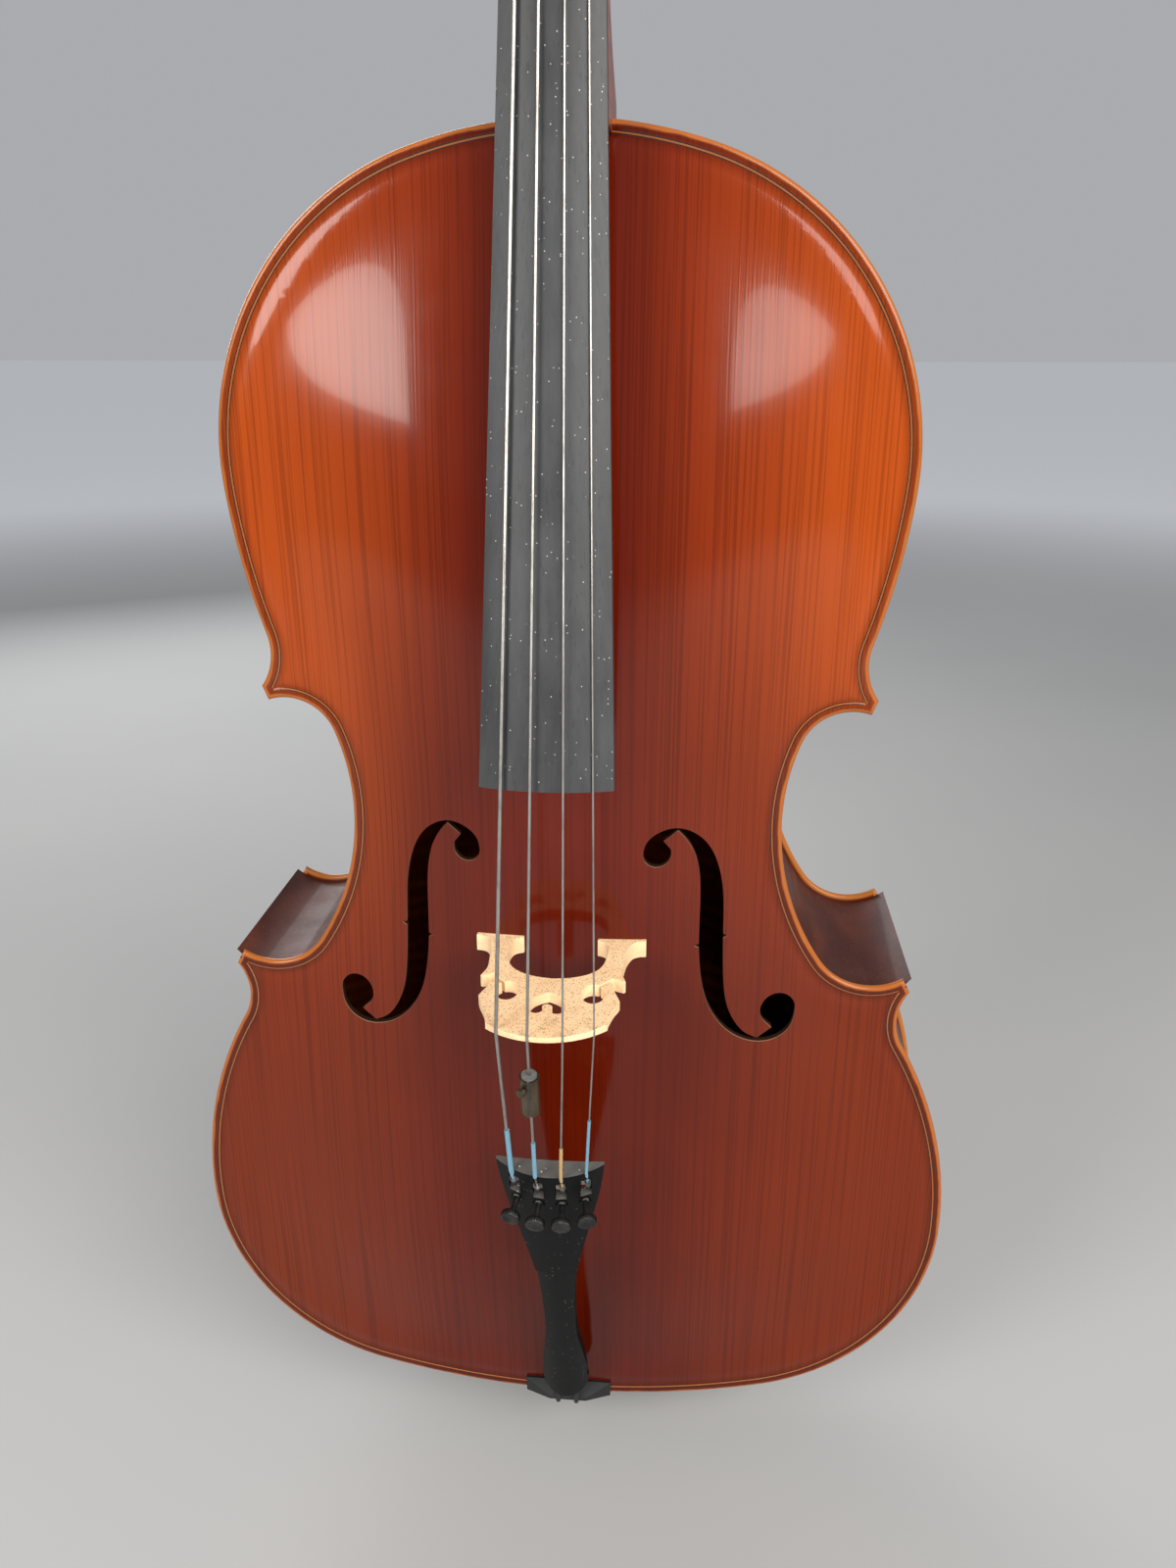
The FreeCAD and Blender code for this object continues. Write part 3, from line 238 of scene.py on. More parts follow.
def arc_through(a, b, c, step=1.2):
    """The arc from a over b to c."""
    (ax, az), (bx, bz), (cx, cz) = a, b, c
    d = 2 * (ax * (bz - cz) + bx * (cz - az) + cx * (az - bz))
    a2, b2, c2 = ax ** 2 + az ** 2, bx ** 2 + bz ** 2, cx ** 2 + cz ** 2
    ux = (a2 * (bz - cz) + b2 * (cz - az) + c2 * (az - bz)) / d
    uz = (a2 * (cx - bx) + b2 * (ax - cx) + c2 * (bx - ax)) / d
    radius = math.hypot(ax - ux, az - uz)
    start, middle, end = (math.atan2(z - uz, x - ux) for x, z in (a, b, c))
    sweep = (end - start) % (2 * math.pi)
    if (middle - start) % (2 * math.pi) > sweep:
        sweep -= 2 * math.pi
    angles = np.linspace(start, start + sweep, max(6, int(abs(sweep) * radius / step)) + 1)
    return np.column_stack([ux + radius * np.cos(angles), uz + radius * np.sin(angles)])


# --- the arching -----------------------------------------------
ARCH_STATIONS = [(9, 4), (60, 160), (150, 214), (300, 165), (417, 106), (500, 128), (606, 163),
                 (700, 118), (746, 4)]
ARCH_MIDDLE = 377.0
ARCH_REACH = 368.0
CHANNEL_DEPTH = 0.9
width_squared = natural_spline([z for z, w in ARCH_STATIONS], [w * w for z, w in ARCH_STATIONS])


def arch(x, z):
    """How far a plate's outer surface stands out from the plane of its edge."""
    x, z = np.asarray(x, float), np.asarray(z, float)
    along = np.minimum(1.0, np.abs(z - ARCH_MIDDLE) / ARCH_REACH)
    across = np.minimum(1.0, np.abs(x) / np.sqrt(np.maximum(16.0, width_squared(z))))
    return ARCH * (1 + np.cos(math.pi * along ** 2.8)) / 2 * (1 + np.cos(math.pi * across ** 1.6)) / 2


def channel(distance):
    """The hollow that runs round inside the raised edge."""
    t = np.clip((distance - 3.4) / 12.0, 0, 1)
    return CHANNEL_DEPTH * np.sin(math.pi * t ** 0.7) ** 2


# --- making meshes -----------------------------------------------
def solid(name, points, faces, material, facts=None, sharp=38.0, recalculate=True):
    """A closed mesh from layout points; facts are numbers kept on its points for the finish to read."""
    mesh = bpy.data.meshes.new(name)
    mesh.from_pydata(home(points).tolist(), [], [tuple(int(i) for i in f) for f in faces])
    for fact, values in (facts or {}).items():
        mesh.attributes.new(fact, "FLOAT", "POINT").data.foreach_set("value", np.asarray(values, np.float32))
    if recalculate:
        work = bmesh.new()
        work.from_mesh(mesh)
        bmesh.ops.recalc_face_normals(work, faces=work.faces)
        work.to_mesh(mesh)
        work.free()
    mesh.shade_smooth()
    mesh.set_sharp_from_angle(angle=math.radians(sharp))
    mesh.materials.append(material)
    piece = bpy.data.objects.new(name, mesh)
    bpy.context.scene.collection.objects.link(piece)
    return piece


def settle(piece, slot_name, *nodes, body="cello"):
    """Says which body a piece rides on and hides the nodes it stands for; slot_name, for its finish, is not
    used.
    """
    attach(piece, body)
    if nodes:
        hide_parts(*nodes)
    return piece


def tube(rings, closed_ends=True):
    """Points and faces of a skin over rings of equal count."""
    rings = [np.asarray(r, float) for r in rings]
    count = len(rings[0])
    points = np.vstack(rings)
    faces = []
    for i in range(len(rings) - 1):
        a, b = i * count, (i + 1) * count
        for j in range(count):
            k = (j + 1) % count
            faces.append((a + j, a + k, b + k, b + j))
    if closed_ends:
        faces.append(tuple(range(count))[::-1])
        last = (len(rings) - 1) * count
        faces.append(tuple(last + j for j in range(count)))
    return points, faces


def joined(*shells):
    """Several skins as one list of points and one of faces."""
    points, faces, base = [], [], 0
    for shell_points, shell_faces in shells:
        points.append(shell_points)
        faces += [tuple(i + base for i in f) for f in shell_faces]
        base += len(shell_points)
    return np.vstack(points), faces


def flat_net(rim, holes, loose):
    """Triangles over a flat shape: its rim, the rims of its holes, and loose points inside it."""
    loops = [rim] + holes
    points = np.vstack(loops + [loose])
    edges, base = [], 0
    for loop in loops:
        edges += [(base + i, base + (i + 1) % len(loop)) for i in range(len(loop))]
        base += len(loop)
    net = delaunay_2d_cdt([Vector(p) for p in points.tolist()], edges, [], 0, 1e-6)
    places = np.array([tuple(v) for v in net[0]])
    faces = np.array(net[2])
    middles = places[faces].mean(axis=1)
    keep = inside(middles, rim)
    for hole in holes:
        keep &= ~inside(middles, hole)
    return places, faces[keep]


def rims(faces):
    """The directed edges that only one triangle has."""
    edges = {}
    for a, b, c in faces.tolist():
        for edge in ((a, b), (b, c), (c, a)):
            if edge[::-1] in edges:
                del edges[edge[::-1]]
            else:
                edges[edge] = True
    return list(edges)


# --- finishes -----------------------------------------------
class Field:
    """A number that varies over a surface.  Sums, products and so on of fields add Math nodes."""

    def __init__(self, finish, socket):
        self.finish = finish
        self.socket = socket

    def maths(self, operation, *values):
        node = self.finish.node("ShaderNodeMath", {"operation": operation}, dict(enumerate(values)))
        return Field(self.finish, node.outputs[0])

    def __add__(self, other):
        return self.maths("ADD", self, other)

    def __sub__(self, other):
        return self.maths("SUBTRACT", self, other)

    def __rsub__(self, other):
        return self.maths("SUBTRACT", other, self)

    def __mul__(self, other):
        return self.maths("MULTIPLY", self, other)

    __radd__ = __add__
    __rmul__ = __mul__

    def wave(self):
        return self.maths("SINE", self) * 0.5 + 0.5

    def size(self):
        return self.maths("ABSOLUTE", self)

    def rise(self, low, high):
        """0 below low, 1 above high, smooth between; falls instead where low is above high."""
        down = low > high
        node = self.finish.node("ShaderNodeMapRange", {"interpolation_type": "SMOOTHSTEP"},
                                {"Value": self, "From Min": min(low, high), "From Max": max(low, high),
                                 "To Min": float(down), "To Max": float(not down)})
        return Field(self.finish, node.outputs["Result"])


class Finish:
    """One material, whose pattern reads the piece's own coordinates."""

    def __init__(self, name):
        self.material = bpy.data.materials.new(name)
        self.material.use_nodes = True
        self.tree = self.material.node_tree
        self.tree.nodes.clear()
        self.place = self.node("ShaderNodeTexCoord").outputs["Object"]
        axes = self.node("ShaderNodeSeparateXYZ", {}, {"Vector": self.place})
        self.x, self.y, self.z = (Field(self, axes.outputs[axis]) for axis in "XYZ")

    def node(self, kind, settings=None, inputs=None):
        node = self.tree.nodes.new(kind)
        for key, value in (settings or {}).items():
            setattr(node, key, value)
        for key, value in (inputs or {}).items():
            self.feed(node.inputs[key], value)
        return node

    def feed(self, socket, value):
        value = getattr(value, "socket", value)
        if isinstance(value, bpy.types.NodeSocket):
            self.tree.links.new(value, socket)
        else:
            socket.default_value = value

    def fact(self, name):
        """A number kept on the piece's points."""
        return Field(self, self.node("ShaderNodeAttribute", {"attribute_name": name}).outputs["Fac"])

    def upward(self):
        """How far the surface faces up, from -1 to 1."""
        facing = self.node("ShaderNodeNewGeometry").outputs["Normal"]
        axes = self.node("ShaderNodeSeparateXYZ", {}, {"Vector": facing})
        return Field(self, axes.outputs["Z"])

    def noise(self, per_metre, detail=2.0, roughness=0.5, distortion=0.0):
        """Smooth noise with so many features to the metre along x, y and z."""
        mapped = self.node("ShaderNodeMapping", {}, {"Vector": self.place, "Scale": per_metre})
        node = self.node("ShaderNodeTexNoise", {}, {"Vector": mapped.outputs["Vector"], "Scale": 1.0,
                                                    "Detail": detail, "Roughness": roughness,
                                                    "Distortion": distortion})
        return Field(self, node.outputs[0])

    def spots(self, per_metre, size, share):
        """Scattered spots: cells to the metre, size of a spot in cells, and the share of cells with one."""
        mapped = self.node("ShaderNodeMapping", {}, {"Vector": self.place, "Scale": per_metre})
        node = self.node("ShaderNodeTexVoronoi", {}, {"Vector": mapped.outputs["Vector"], "Scale": 1.0})
        random = self.node("ShaderNodeSeparateColor", {}, {"Color": node.outputs["Color"]})
        near = Field(self, node.outputs["Distance"]).rise(size, size * 0.6)
        return near * Field(self, random.outputs["Red"]).rise(share + 0.01, share)

    def mix(self, factor, first, second):
        """Goes from the first colour to the second."""
        inputs = {0: factor}
        for index, colour in ((6, first), (7, second)):
            inputs[index] = colour if isinstance(colour, bpy.types.NodeSocket) else (*colour, 1.0)
        return self.node("ShaderNodeMix", {"data_type": "RGBA"}, inputs).outputs[2]

    def bump(self, height, depth):
        """A normal that follows a height, where 1 is so many metres high."""
        return self.node("ShaderNodeBump", {}, {"Height": height, "Distance": depth}).outputs["Normal"]

    def done(self, colour, roughness, normal=None, **constants):
        shader = self.node("ShaderNodeBsdfPrincipled")
        self.feed(shader.inputs["Base Color"], colour if isinstance(colour, bpy.types.NodeSocket)
                  else (*colour, 1.0))
        self.feed(shader.inputs["Roughness"], roughness)
        if normal is not None:
            self.feed(shader.inputs["Normal"], normal)
        for name, value in constants.items():
            self.feed(shader.inputs[name.replace("_", " ")], value)
        self.node("ShaderNodeOutputMaterial", {}, {"Surface": shader.outputs[0]})
        return self.material


def varnished_spruce():
    """Red-brown varnish over fine upright spruce grain, rubbed to gold on the edge."""
    f = Finish("varnished_spruce")
    edge = f.fact("edge")
    drift = f.noise((16, 4, 1.6), 1.0)
    lines = f.noise((900, 30, 4), 1.0, 0.5, 0.1)
    broad = f.noise((110, 10, 1.2), 2.0, 0.5)
    cloud = f.noise((9, 9, 6), 3.0, 0.55)
    # Deep red in the middle and orange towards the flanks; both are painted lighter high up, as painted light
    # from above, and darker and browner low down, as painted shade.
    height = f.z - BODY_Z
    upper = (height + drift * 0.1).rise(0.34, 0.60)
    middle = f.mix(upper, (0.078, 0.0050, 0.0008), (0.135, 0.0085, 0.0014))
    flank = f.mix(upper, (0.150, 0.0175, 0.0020), (0.40, 0.064, 0.0052))
    spread = (f.x.size() + drift * 0.06).rise(0.045, 0.21)
    colour = f.mix(spread, middle, flank)
    colour = f.mix(cloud.rise(0.35, 0.8) * 0.25, colour, (0.21, 0.021, 0.0022))
    grain = lines.rise(0.46, 0.66) * (0.6 + 0.7 * broad)
    colour = f.mix(grain * 0.34, colour, (0.040, 0.0030, 0.0008))
    shade = edge.rise(11.0, 4.0) * (0.55 + 0.5 * cloud)
    colour = f.mix(shade * 0.6, colour, (0.045, 0.0055, 0.0014))
    rubbed = (edge + 1.6 * f.noise((70, 70, 70), 2.0)).rise(3.6, 2.2)
    colour = f.mix(rubbed * 0.92, colour, (0.40, 0.115, 0.020))
    # The walls of the sound holes are dark, with a thin pale line where the front edge was cut.
    cut = f.fact("cut")
    colour = f.mix(cut.rise(0.2, 0.4), colour, (0.030, 0.014, 0.007))
    colour = f.mix(cut.rise(0.90, 0.95), colour, (0.44, 0.27, 0.16))
    scuffs = f.noise((40, 40, 55), 4.0, 0.6)
    relief = lines * 0.6 + broad * 0.5 + scuffs * 0.4
    return f.done(colour, 0.085 + 0.10 * scuffs + rubbed * 0.12 + cut * 0.4,
                  f.bump(relief, 0.00005), Coat_Weight=0.2, Coat_Roughness=0.05, Specular_IOR_Level=0.24)


def flamed_maple(name, light, dark, gloss, dust=0.0, lean=0.22, rubbed=False):
    """Varnished maple with its flame across the grain; a plate's edge is rubbed to gold."""
    f = Finish(name)
    run = f.z + f.x.size() * lean
    wander = f.noise((14, 14, 9), 2.0)
    flame = (run * 560 + wander * 16).wave() * f.noise((22, 22, 60), 2.0).rise(0.3, 0.7)
    fibre = f.noise((380, 380, 14), 2.0, 0.6)
    cloud = f.noise((7, 7, 6), 3.0)
    colour = f.mix(flame * 0.75, dark, light)
    colour = f.mix(fibre.rise(0.5, 0.75) * 0.35, colour, [c * 0.35 for c in dark])
    colour = f.mix(cloud.rise(0.4, 0.8) * 0.4, colour, [c * 0.8 for c in light])
    if rubbed:
        edge = f.fact("edge")
        colour = f.mix(edge.rise(11.0, 4.0) * 0.6, colour, (0.050, 0.0070, 0.0020))
        colour = f.mix(edge.rise(3.4, 2.0) * 0.9, colour, (0.50, 0.16, 0.028))
    roughness = gloss + 0.12 * cloud + 0.1 * fibre
    if dust:
        specks = f.spots((900, 900, 900), 0.22, dust)
        film = f.noise((30, 30, 30), 4.0, 0.65).rise(0.4, 0.8)
        colour = f.mix(specks * 0.5, colour, (0.40, 0.33, 0.29))
        colour = f.mix(film * 0.12, colour, (0.20, 0.12, 0.09))
        roughness = roughness + specks * 0.3 + film * 0.2
    return f.done(colour, roughness, f.bump(fibre + flame * 0.3, 0.00005), Coat_Weight=0.1,
                  Coat_Roughness=0.1, Specular_IOR_Level=0.25)


def three_ply_purfling():
    """Black, pale and black strips, by the distance across the inlay."""
    f = Finish("three_ply_purfling")
    across = f.fact("ply")
    pale = across.rise(0.40, 0.46) * across.rise(1.22, 1.14)
    grain = f.noise((500, 500, 500), 2.0)
    colour = f.mix(pale * (0.75 + 0.25 * grain), (0.012, 0.006, 0.004), (0.34, 0.10, 0.020))
    return f.done(colour, 0.2 + 0.1 * grain, f.bump(grain, 0.00002))


def bare_wood(name, light, dark):
    f = Finish(name)
    lines = f.noise((500, 500, 9), 2.0, 0.6)
    cloud = f.noise((20, 20, 12), 3.0)
    colour = f.mix(lines.rise(0.4, 0.75) * 0.6, light, dark)
    colour = f.mix(cloud.rise(0.4, 0.8) * 0.3, colour, dark)
    return f.done(colour, 0.6 + 0.2 * lines, f.bump(lines, 0.00008))


def bridge_maple():
    """Pale unvarnished maple cut on the quarter, with dark flecks."""
    f = Finish("bridge_maple")
    flecks = f.noise((1500, 700, 700), 2.0, 0.55).rise(0.56, 0.64)
    fibre = f.noise((130, 200, 900), 2.0, 0.5)
    cloud = f.noise((40, 40, 40), 2.0)
    colour = f.mix(cloud.rise(0.3, 0.7), (0.98, 0.70, 0.41), (0.93, 0.62, 0.34))
    colour = f.mix(fibre.rise(0.5, 0.8) * 0.3, colour, (0.55, 0.30, 0.14))
    colour = f.mix(flecks * f.upward().size().rise(0.5, 0.8) * 0.7, colour, (0.36, 0.17, 0.07))
    return f.done(colour, 0.5 + 0.1 * fibre, f.bump(flecks, -0.00005))


def dark_ebony(name, shade, gloss, dust=0.0):
    """Ebony: nearly black, with fine pores along the grain."""
    f = Finish(name)
    pores = f.noise((900, 900, 30), 2.0, 0.6)
    streak = f.noise((160, 160, 5), 3.0, 0.6)
    colour = f.mix(streak.rise(0.35, 0.75), [shade * c for c in (0.85, 0.9, 1.0)],
                   [shade * c for c in (1.5, 1.55, 1.6)])
    colour = f.mix(pores.rise(0.58, 0.7) * 0.6, colour, (0.004, 0.004, 0.004))
    roughness = gloss + 0.12 * streak + 0.1 * pores
    if dust:
        specks = f.spots((420, 420, 420), 0.15, dust)
        film = f.noise((18, 18, 7), 4.0, 0.6).rise(0.35, 0.75)
        colour = f.mix(specks * 0.8, colour, (0.6, 0.6, 0.58))
        colour = f.mix(film * 0.16, colour, (0.22, 0.23, 0.24))
        roughness = roughness + film * 0.1
    return f.done(colour, roughness, f.bump(pores, 0.00003))


def black_composite():
    """The tailpiece's black composite: fine matte texture, grey with dust where it faces up."""
    f = Finish("black_composite")
    tooth = f.noise((1500, 1500, 1500), 2.0, 0.6)
    smear = f.noise((60, 60, 30), 3.0, 0.6)
    upward = f.upward().rise(0.75, 0.95)
    colour = f.mix(smear.rise(0.3, 0.8), (0.0022, 0.0028, 0.0030), (0.0045, 0.0052, 0.0055))
    colour = f.mix(upward * (0.45 + 0.4 * smear), colour, (0.15, 0.145, 0.135))
    specks = f.spots((500, 500, 500), 0.3, 0.08)
    colour = f.mix(specks * (0.15 + 0.85 * upward), colour, (0.5, 0.5, 0.48))
    return f.done(colour, 0.36 + 0.2 * smear + 0.2 * upward, f.bump(tooth, 0.00003),
                  Specular_IOR_Level=0.12)


def polished_metal(name, colour, worn, roughness):
    f = Finish(name)
    smear = f.noise((120, 120, 60), 3.0, 0.6)
    lines = f.noise((900, 900, 2600), 2.0)
    shade = f.mix(smear.rise(0.35, 0.75), colour, worn)
    return f.done(shade, roughness + 0.15 * smear + 0.08 * lines, f.bump(lines, 0.00001), Metallic=1.0)


def wound_silk(name, colour, shadow):
    """Thread wound closely round a string's end."""
    f = Finish(name)
    turns = (f.z * 9000 + f.x * 900).wave()
    fuzz = f.noise((1200, 1200, 1200), 3.0)
    shade = f.mix(turns.rise(0.15, 0.75) * (0.5 + 0.5 * fuzz), shadow, colour)
    return f.done(shade, 0.6 + 0.2 * fuzz, f.bump(turns + fuzz * 0.5, 0.00008), Sheen_Weight=0.3)


def soft_rubber(name, colour):
    f = Finish(name)
    pits = f.noise((700, 700, 700), 3.0)
    shade = f.mix(pits.rise(0.3, 0.8), colour, [c * 1.5 for c in colour])
    return f.done(shade, 0.55 + 0.25 * pits, f.bump(pits, 0.00006))


def old_gut():
    f = Finish("tail_gut_cord")
    twist = (f.x * 2600 + f.y * 2600 + f.z * 2600).wave()
    blur = f.noise((200, 200, 200), 2.0)
    shade = f.mix(twist, (0.010, 0.010, 0.011), (0.022, 0.022, 0.023))
    return f.done(shade, 0.4 + 0.2 * blur, f.bump(twist, 0.00005))


SPRUCE = varnished_spruce()
BACK = flamed_maple("back_maple", (0.34, 0.062, 0.008), (0.15, 0.017, 0.003), 0.18, rubbed=True)
RIBS = flamed_maple("rib_maple", (0.125, 0.026, 0.011), (0.060, 0.012, 0.007), 0.42, dust=0.10,
                    lean=0.0)
NECK = flamed_maple("neck_maple", (0.33, 0.070, 0.012), (0.17, 0.024, 0.005), 0.2, lean=0.0)
PURFLING = three_ply_purfling()
INNER_SPRUCE = bare_wood("inner_spruce", (0.62, 0.42, 0.21), (0.44, 0.26, 0.11))
BRIDGE = bridge_maple()
BOARD = dark_ebony("board_ebony", 0.022, 0.36, dust=0.30)
EBONY = dark_ebony("fitting_ebony", 0.010, 0.25)
COMPOSITE = black_composite()
STEEL = polished_metal("turned_steel", (0.62, 0.61, 0.59), (0.40, 0.39, 0.37), 0.22)
BLACK_STEEL = polished_metal("blackened_steel", (0.045, 0.045, 0.046), (0.09, 0.088, 0.085), 0.3)
WINDING = polished_metal("string_winding_metal", (0.46, 0.44, 0.41), (0.28, 0.265, 0.245), 0.25)
WOLF_METAL = polished_metal("browned_brass", (0.17, 0.13, 0.085), (0.09, 0.07, 0.05), 0.3)
SILK_BLUE = wound_silk("blue_silk", (0.19, 0.47, 0.62), (0.05, 0.17, 0.27))
SILK_YELLOW = wound_silk("yellow_silk", (0.62, 0.40, 0.13), (0.36, 0.20, 0.05))
GUT = old_gut()
RUBBER = soft_rubber("black_rubber", (0.016, 0.016, 0.017))
GREY_RUBBER = soft_rubber("grey_rubber", (0.10, 0.105, 0.105))


# --- plates -----------------------------------------------
EDGE_ROUND = PLATE / 2
EDGE_STEPS = 10


def sound_hole():
    """The treble sound hole's edge, with its two stop marks."""
    inner = through([(62.5, 415.5), (68.5, 408), (73, 398), (75.2, 385), (75.6, 365), (75.8, 345),
                     (77.5, 328), (80.8, 314), (86.5, 302.5), (95, 293), (105, 287.5), (114, 286),
                     (122.5, 288), (129, 294), (131.5, 304)])
    outer = through([(110.5, 288.6), (104, 292), (97.5, 299.5), (93, 309), (90.4, 322), (89.3, 340),
                     (88.8, 360), (88, 378), (85, 393), (79.5, 405), (71, 413.5), (61, 417),
                     (51, 414.3), (45.4, 408.5), (44.2, 402)])
    lower_eye = arc_through((131.5, 304), (121.2, 315), (113.6, 299))
    upper_eye = arc_through((44.2, 402), (52, 395.2), (58.6, 405.5))
    inner = with_nick(inner, 347.5, -1)
    outer = with_nick(outer, 352.0, 1)
    lower_wing = np.array([(118.5, 294.2)])
    upper_wing = np.array([(55.0, 410.0)])
    return np.vstack([inner[:-1], lower_eye, lower_wing, outer[:-1], upper_eye, upper_wing])


def with_nick(line, z, side):
    """A line with a small pointed notch at a height."""
    x = float(line[np.abs(line[:, 1] - z).argmin(), 0])
    keep_above = line[:, 1] > z + 1.3
    keep_below = line[:, 1] < z - 1.3
    notch = [(x, z + 1.3), (x + side * 2.6, z), (x, z - 1.3)]
    if line[0, 1] > line[-1, 1]:
        return np.vstack([line[keep_above], notch, line[keep_below]])
    return np.vstack([line[keep_below], notch[::-1], line[keep_above]])


def hex_points(step, edge_room, loop):
    """Points on a hexagonal grid, well inside a loop."""
    rows = []
    for j, z in enumerate(np.arange(6, BODY_LENGTH, step * 0.866)):
        xs = np.arange(-230, 230, step) + (step / 2 if j % 2 else 0)
        rows.append(np.column_stack([xs, np.full(len(xs), z)]))
    points = np.vstack(rows)
    points = points[inside(points, loop)]
    return points[off_line(points, loop) > edge_room]


def plate(name, side, holes, material):
    """A plate with its arch, channel and half-round edge; side is -1 in front and 1 behind."""
    edge_y = 0.0 if side < 0 else BODY_DEPTH
    loop = outline(0.0, 1.7)
    rim = inward(loop, EDGE_ROUND)
    loose = [hex_points(4.6, 14.0, loop)]
    for inset in (3.2, 4.2, 5.4, 6.8, 8.6, 10.8, 13.0):
        ring = inward(loop, inset)
        ring = ring[inside(ring, loop)]
        loose.append(ring[off_line(ring, loop) > inset - 0.15])
    loose = np.vstack(loose)
    for hole in holes:
        loose = loose[~inside(loose, hole)]
        loose = loose[off_line(loose, hole) > 1.2]
        about = inward(hole, -1.2)
        about = about[~inside(about, hole)]
        loose = np.vstack([loose, about[off_line(about, hole) > 0.9]])
    loose = loose[np.unique(np.round(loose, 1), axis=0, return_index=True)[1]]
    places, faces = flat_net(rim, holes, loose)
    distance = off_line(places, loop)
    rise = side * (arch(places[:, 0], places[:, 1]) - channel(distance))
    front = np.column_stack([places[:, 0], edge_y + rise, places[:, 1]])
    behind = front - [0, side * PLATE, 0]
    count = len(places)
    all_faces = faces.tolist() + (faces[:, ::-1] + count).tolist()
    points = [front, behind]
    # The half-round edge joins the two skins round the rim.
    rim_count = len(rim)
    rings = []
    base = 2 * count
    for step in range(1, EDGE_STEPS):
        angle = math.pi * step / EDGE_STEPS
        ring = inward(loop, EDGE_ROUND * (1 - math.sin(angle)))
        y = edge_y - side * EDGE_ROUND * (1 - math.cos(angle))
        points.append(np.column_stack([ring[:, 0], np.full(rim_count, y), ring[:, 1]]))
        rings.append(base + rim_count * (step - 1))
    starts = [0] + rings + [count]
    for a, b in zip(starts, starts[1:]):
        for i in range(rim_count):
            j = (i + 1) % rim_count
            all_faces.append((a + i, a + j, b + j, b + i))
    # The walls of the sound holes.
    walls = [(a, b) for a, b in rims(faces) if max(a, b) >= rim_count]
    cut_points = []
    cut_base = base + rim_count * (EDGE_STEPS - 1)
    for a, b in walls:
        i = cut_base + len(cut_points)
        cut_points += [front[a], front[b], behind[b], behind[a]]
        all_faces.append((i, i + 1, i + 2, i + 3))
    if cut_points:
        points.append(np.array(cut_points))
    points = np.vstack(points)
    edge = np.concatenate([distance, distance])
    edge = np.concatenate([edge, np.zeros(cut_base - 2 * count), np.full(len(cut_points), 40.0)])
    for step, start in enumerate(rings, 1):
        edge[start:start + rim_count] = EDGE_ROUND * (1 - math.sin(math.pi * step / EDGE_STEPS))
    cut = np.zeros(len(points))
    cut[cut_base:] = np.tile([1.0, 1.0, 0.5, 0.5], len(walls))
    return points, all_faces, {"edge": edge, "cut": cut}


def merged(piece):
    """Joins points that lie together, and turns the faces outwards."""
    work = bmesh.new()
    work.from_mesh(piece.data)
    bmesh.ops.remove_doubles(work, verts=work.verts, dist=1e-7)
    bmesh.ops.recalc_face_normals(work, faces=work.faces)
    work.to_mesh(piece.data)
    work.free()


def make_plates():
    treble = sound_hole()
    bass = (treble * [-1, 1])[::-1]
    points, faces, facts = plate("top", -1, [treble, bass], SPRUCE)
    top = solid("top_plate_arched", points, faces, SPRUCE, facts, sharp=50)
    settle(top, "spruce_varnish", "top_plate")
    points, faces, facts = plate("back", 1, [], BACK)
    tab = button_tab()
    facts = {"edge": np.concatenate([facts["edge"], np.full(len(tab[0]), 6.0)])}
    points, faces = joined((points, faces), tab)
    back = solid("back_plate_arched", points, faces, BACK, facts, sharp=50)
    settle(back, "maple_varnish", "back_plate")


def button_tab():
    """The rounded tab of the back behind the heel."""
    half = 14.0
    turn = [(half * math.cos(a), BODY_LENGTH + 12 + half * math.sin(a)) for a in np.linspace(0, math.pi, 25)]
    loop = np.array([(half, BODY_LENGTH - 12)] + turn + [(-half, BODY_LENGTH - 12)])
    rings = []
    for inset, y in ((1.2, BODY_DEPTH - PLATE), (0.0, BODY_DEPTH - PLATE + 1.0), (0.0, BODY_DEPTH - 1.4),
                     (0.5, BODY_DEPTH - 0.4), (1.5, BODY_DEPTH - 0.02)):
        ring = inward(loop[::-1], inset)
        rings.append(np.column_stack([ring[:, 0], np.full(len(ring), y), ring[:, 1]]))
    return tube(rings)


def make_purfling():
    """Three-ply strips let into both plates round the edge, mitred at the corners."""
    for name, side, edge_y in (("top", -1, 0.0), ("back", 1, BODY_DEPTH)):
        sections = []
        for across, depth in ((0.0, 1.0), (0.0, -0.03), (0.43, -0.05), (0.8, -0.05), (1.18, -0.05),
                              (1.6, -0.03), (1.6, 1.0)):
            inset = PURFLING_INSET + across
            line = ring_at(inset)
            distance = np.full(len(line), inset)
            y = edge_y + side * (arch(line[:, 0], line[:, 1]) - channel(distance)) - side * depth
            sections.append((across, np.column_stack([line[:, 0], y, line[:, 1]])))
        count = len(sections[0][1])
        points = np.vstack([s[1] for s in sections])
        faces = []
        for i in range(len(sections)):
            a, b = i * count, (i + 1) % len(sections) * count
            for j in range(count):
                k = (j + 1) % count
                faces.append((a + j, a + k, b + k, b + j))
        ply = np.concatenate([np.full(count, s[0]) for s in sections])
        piece = solid(name + "_purfling_strips", points, faces, PURFLING, {"ply": ply}, sharp=60)
        settle(piece, "purfling", name + "_purfling")


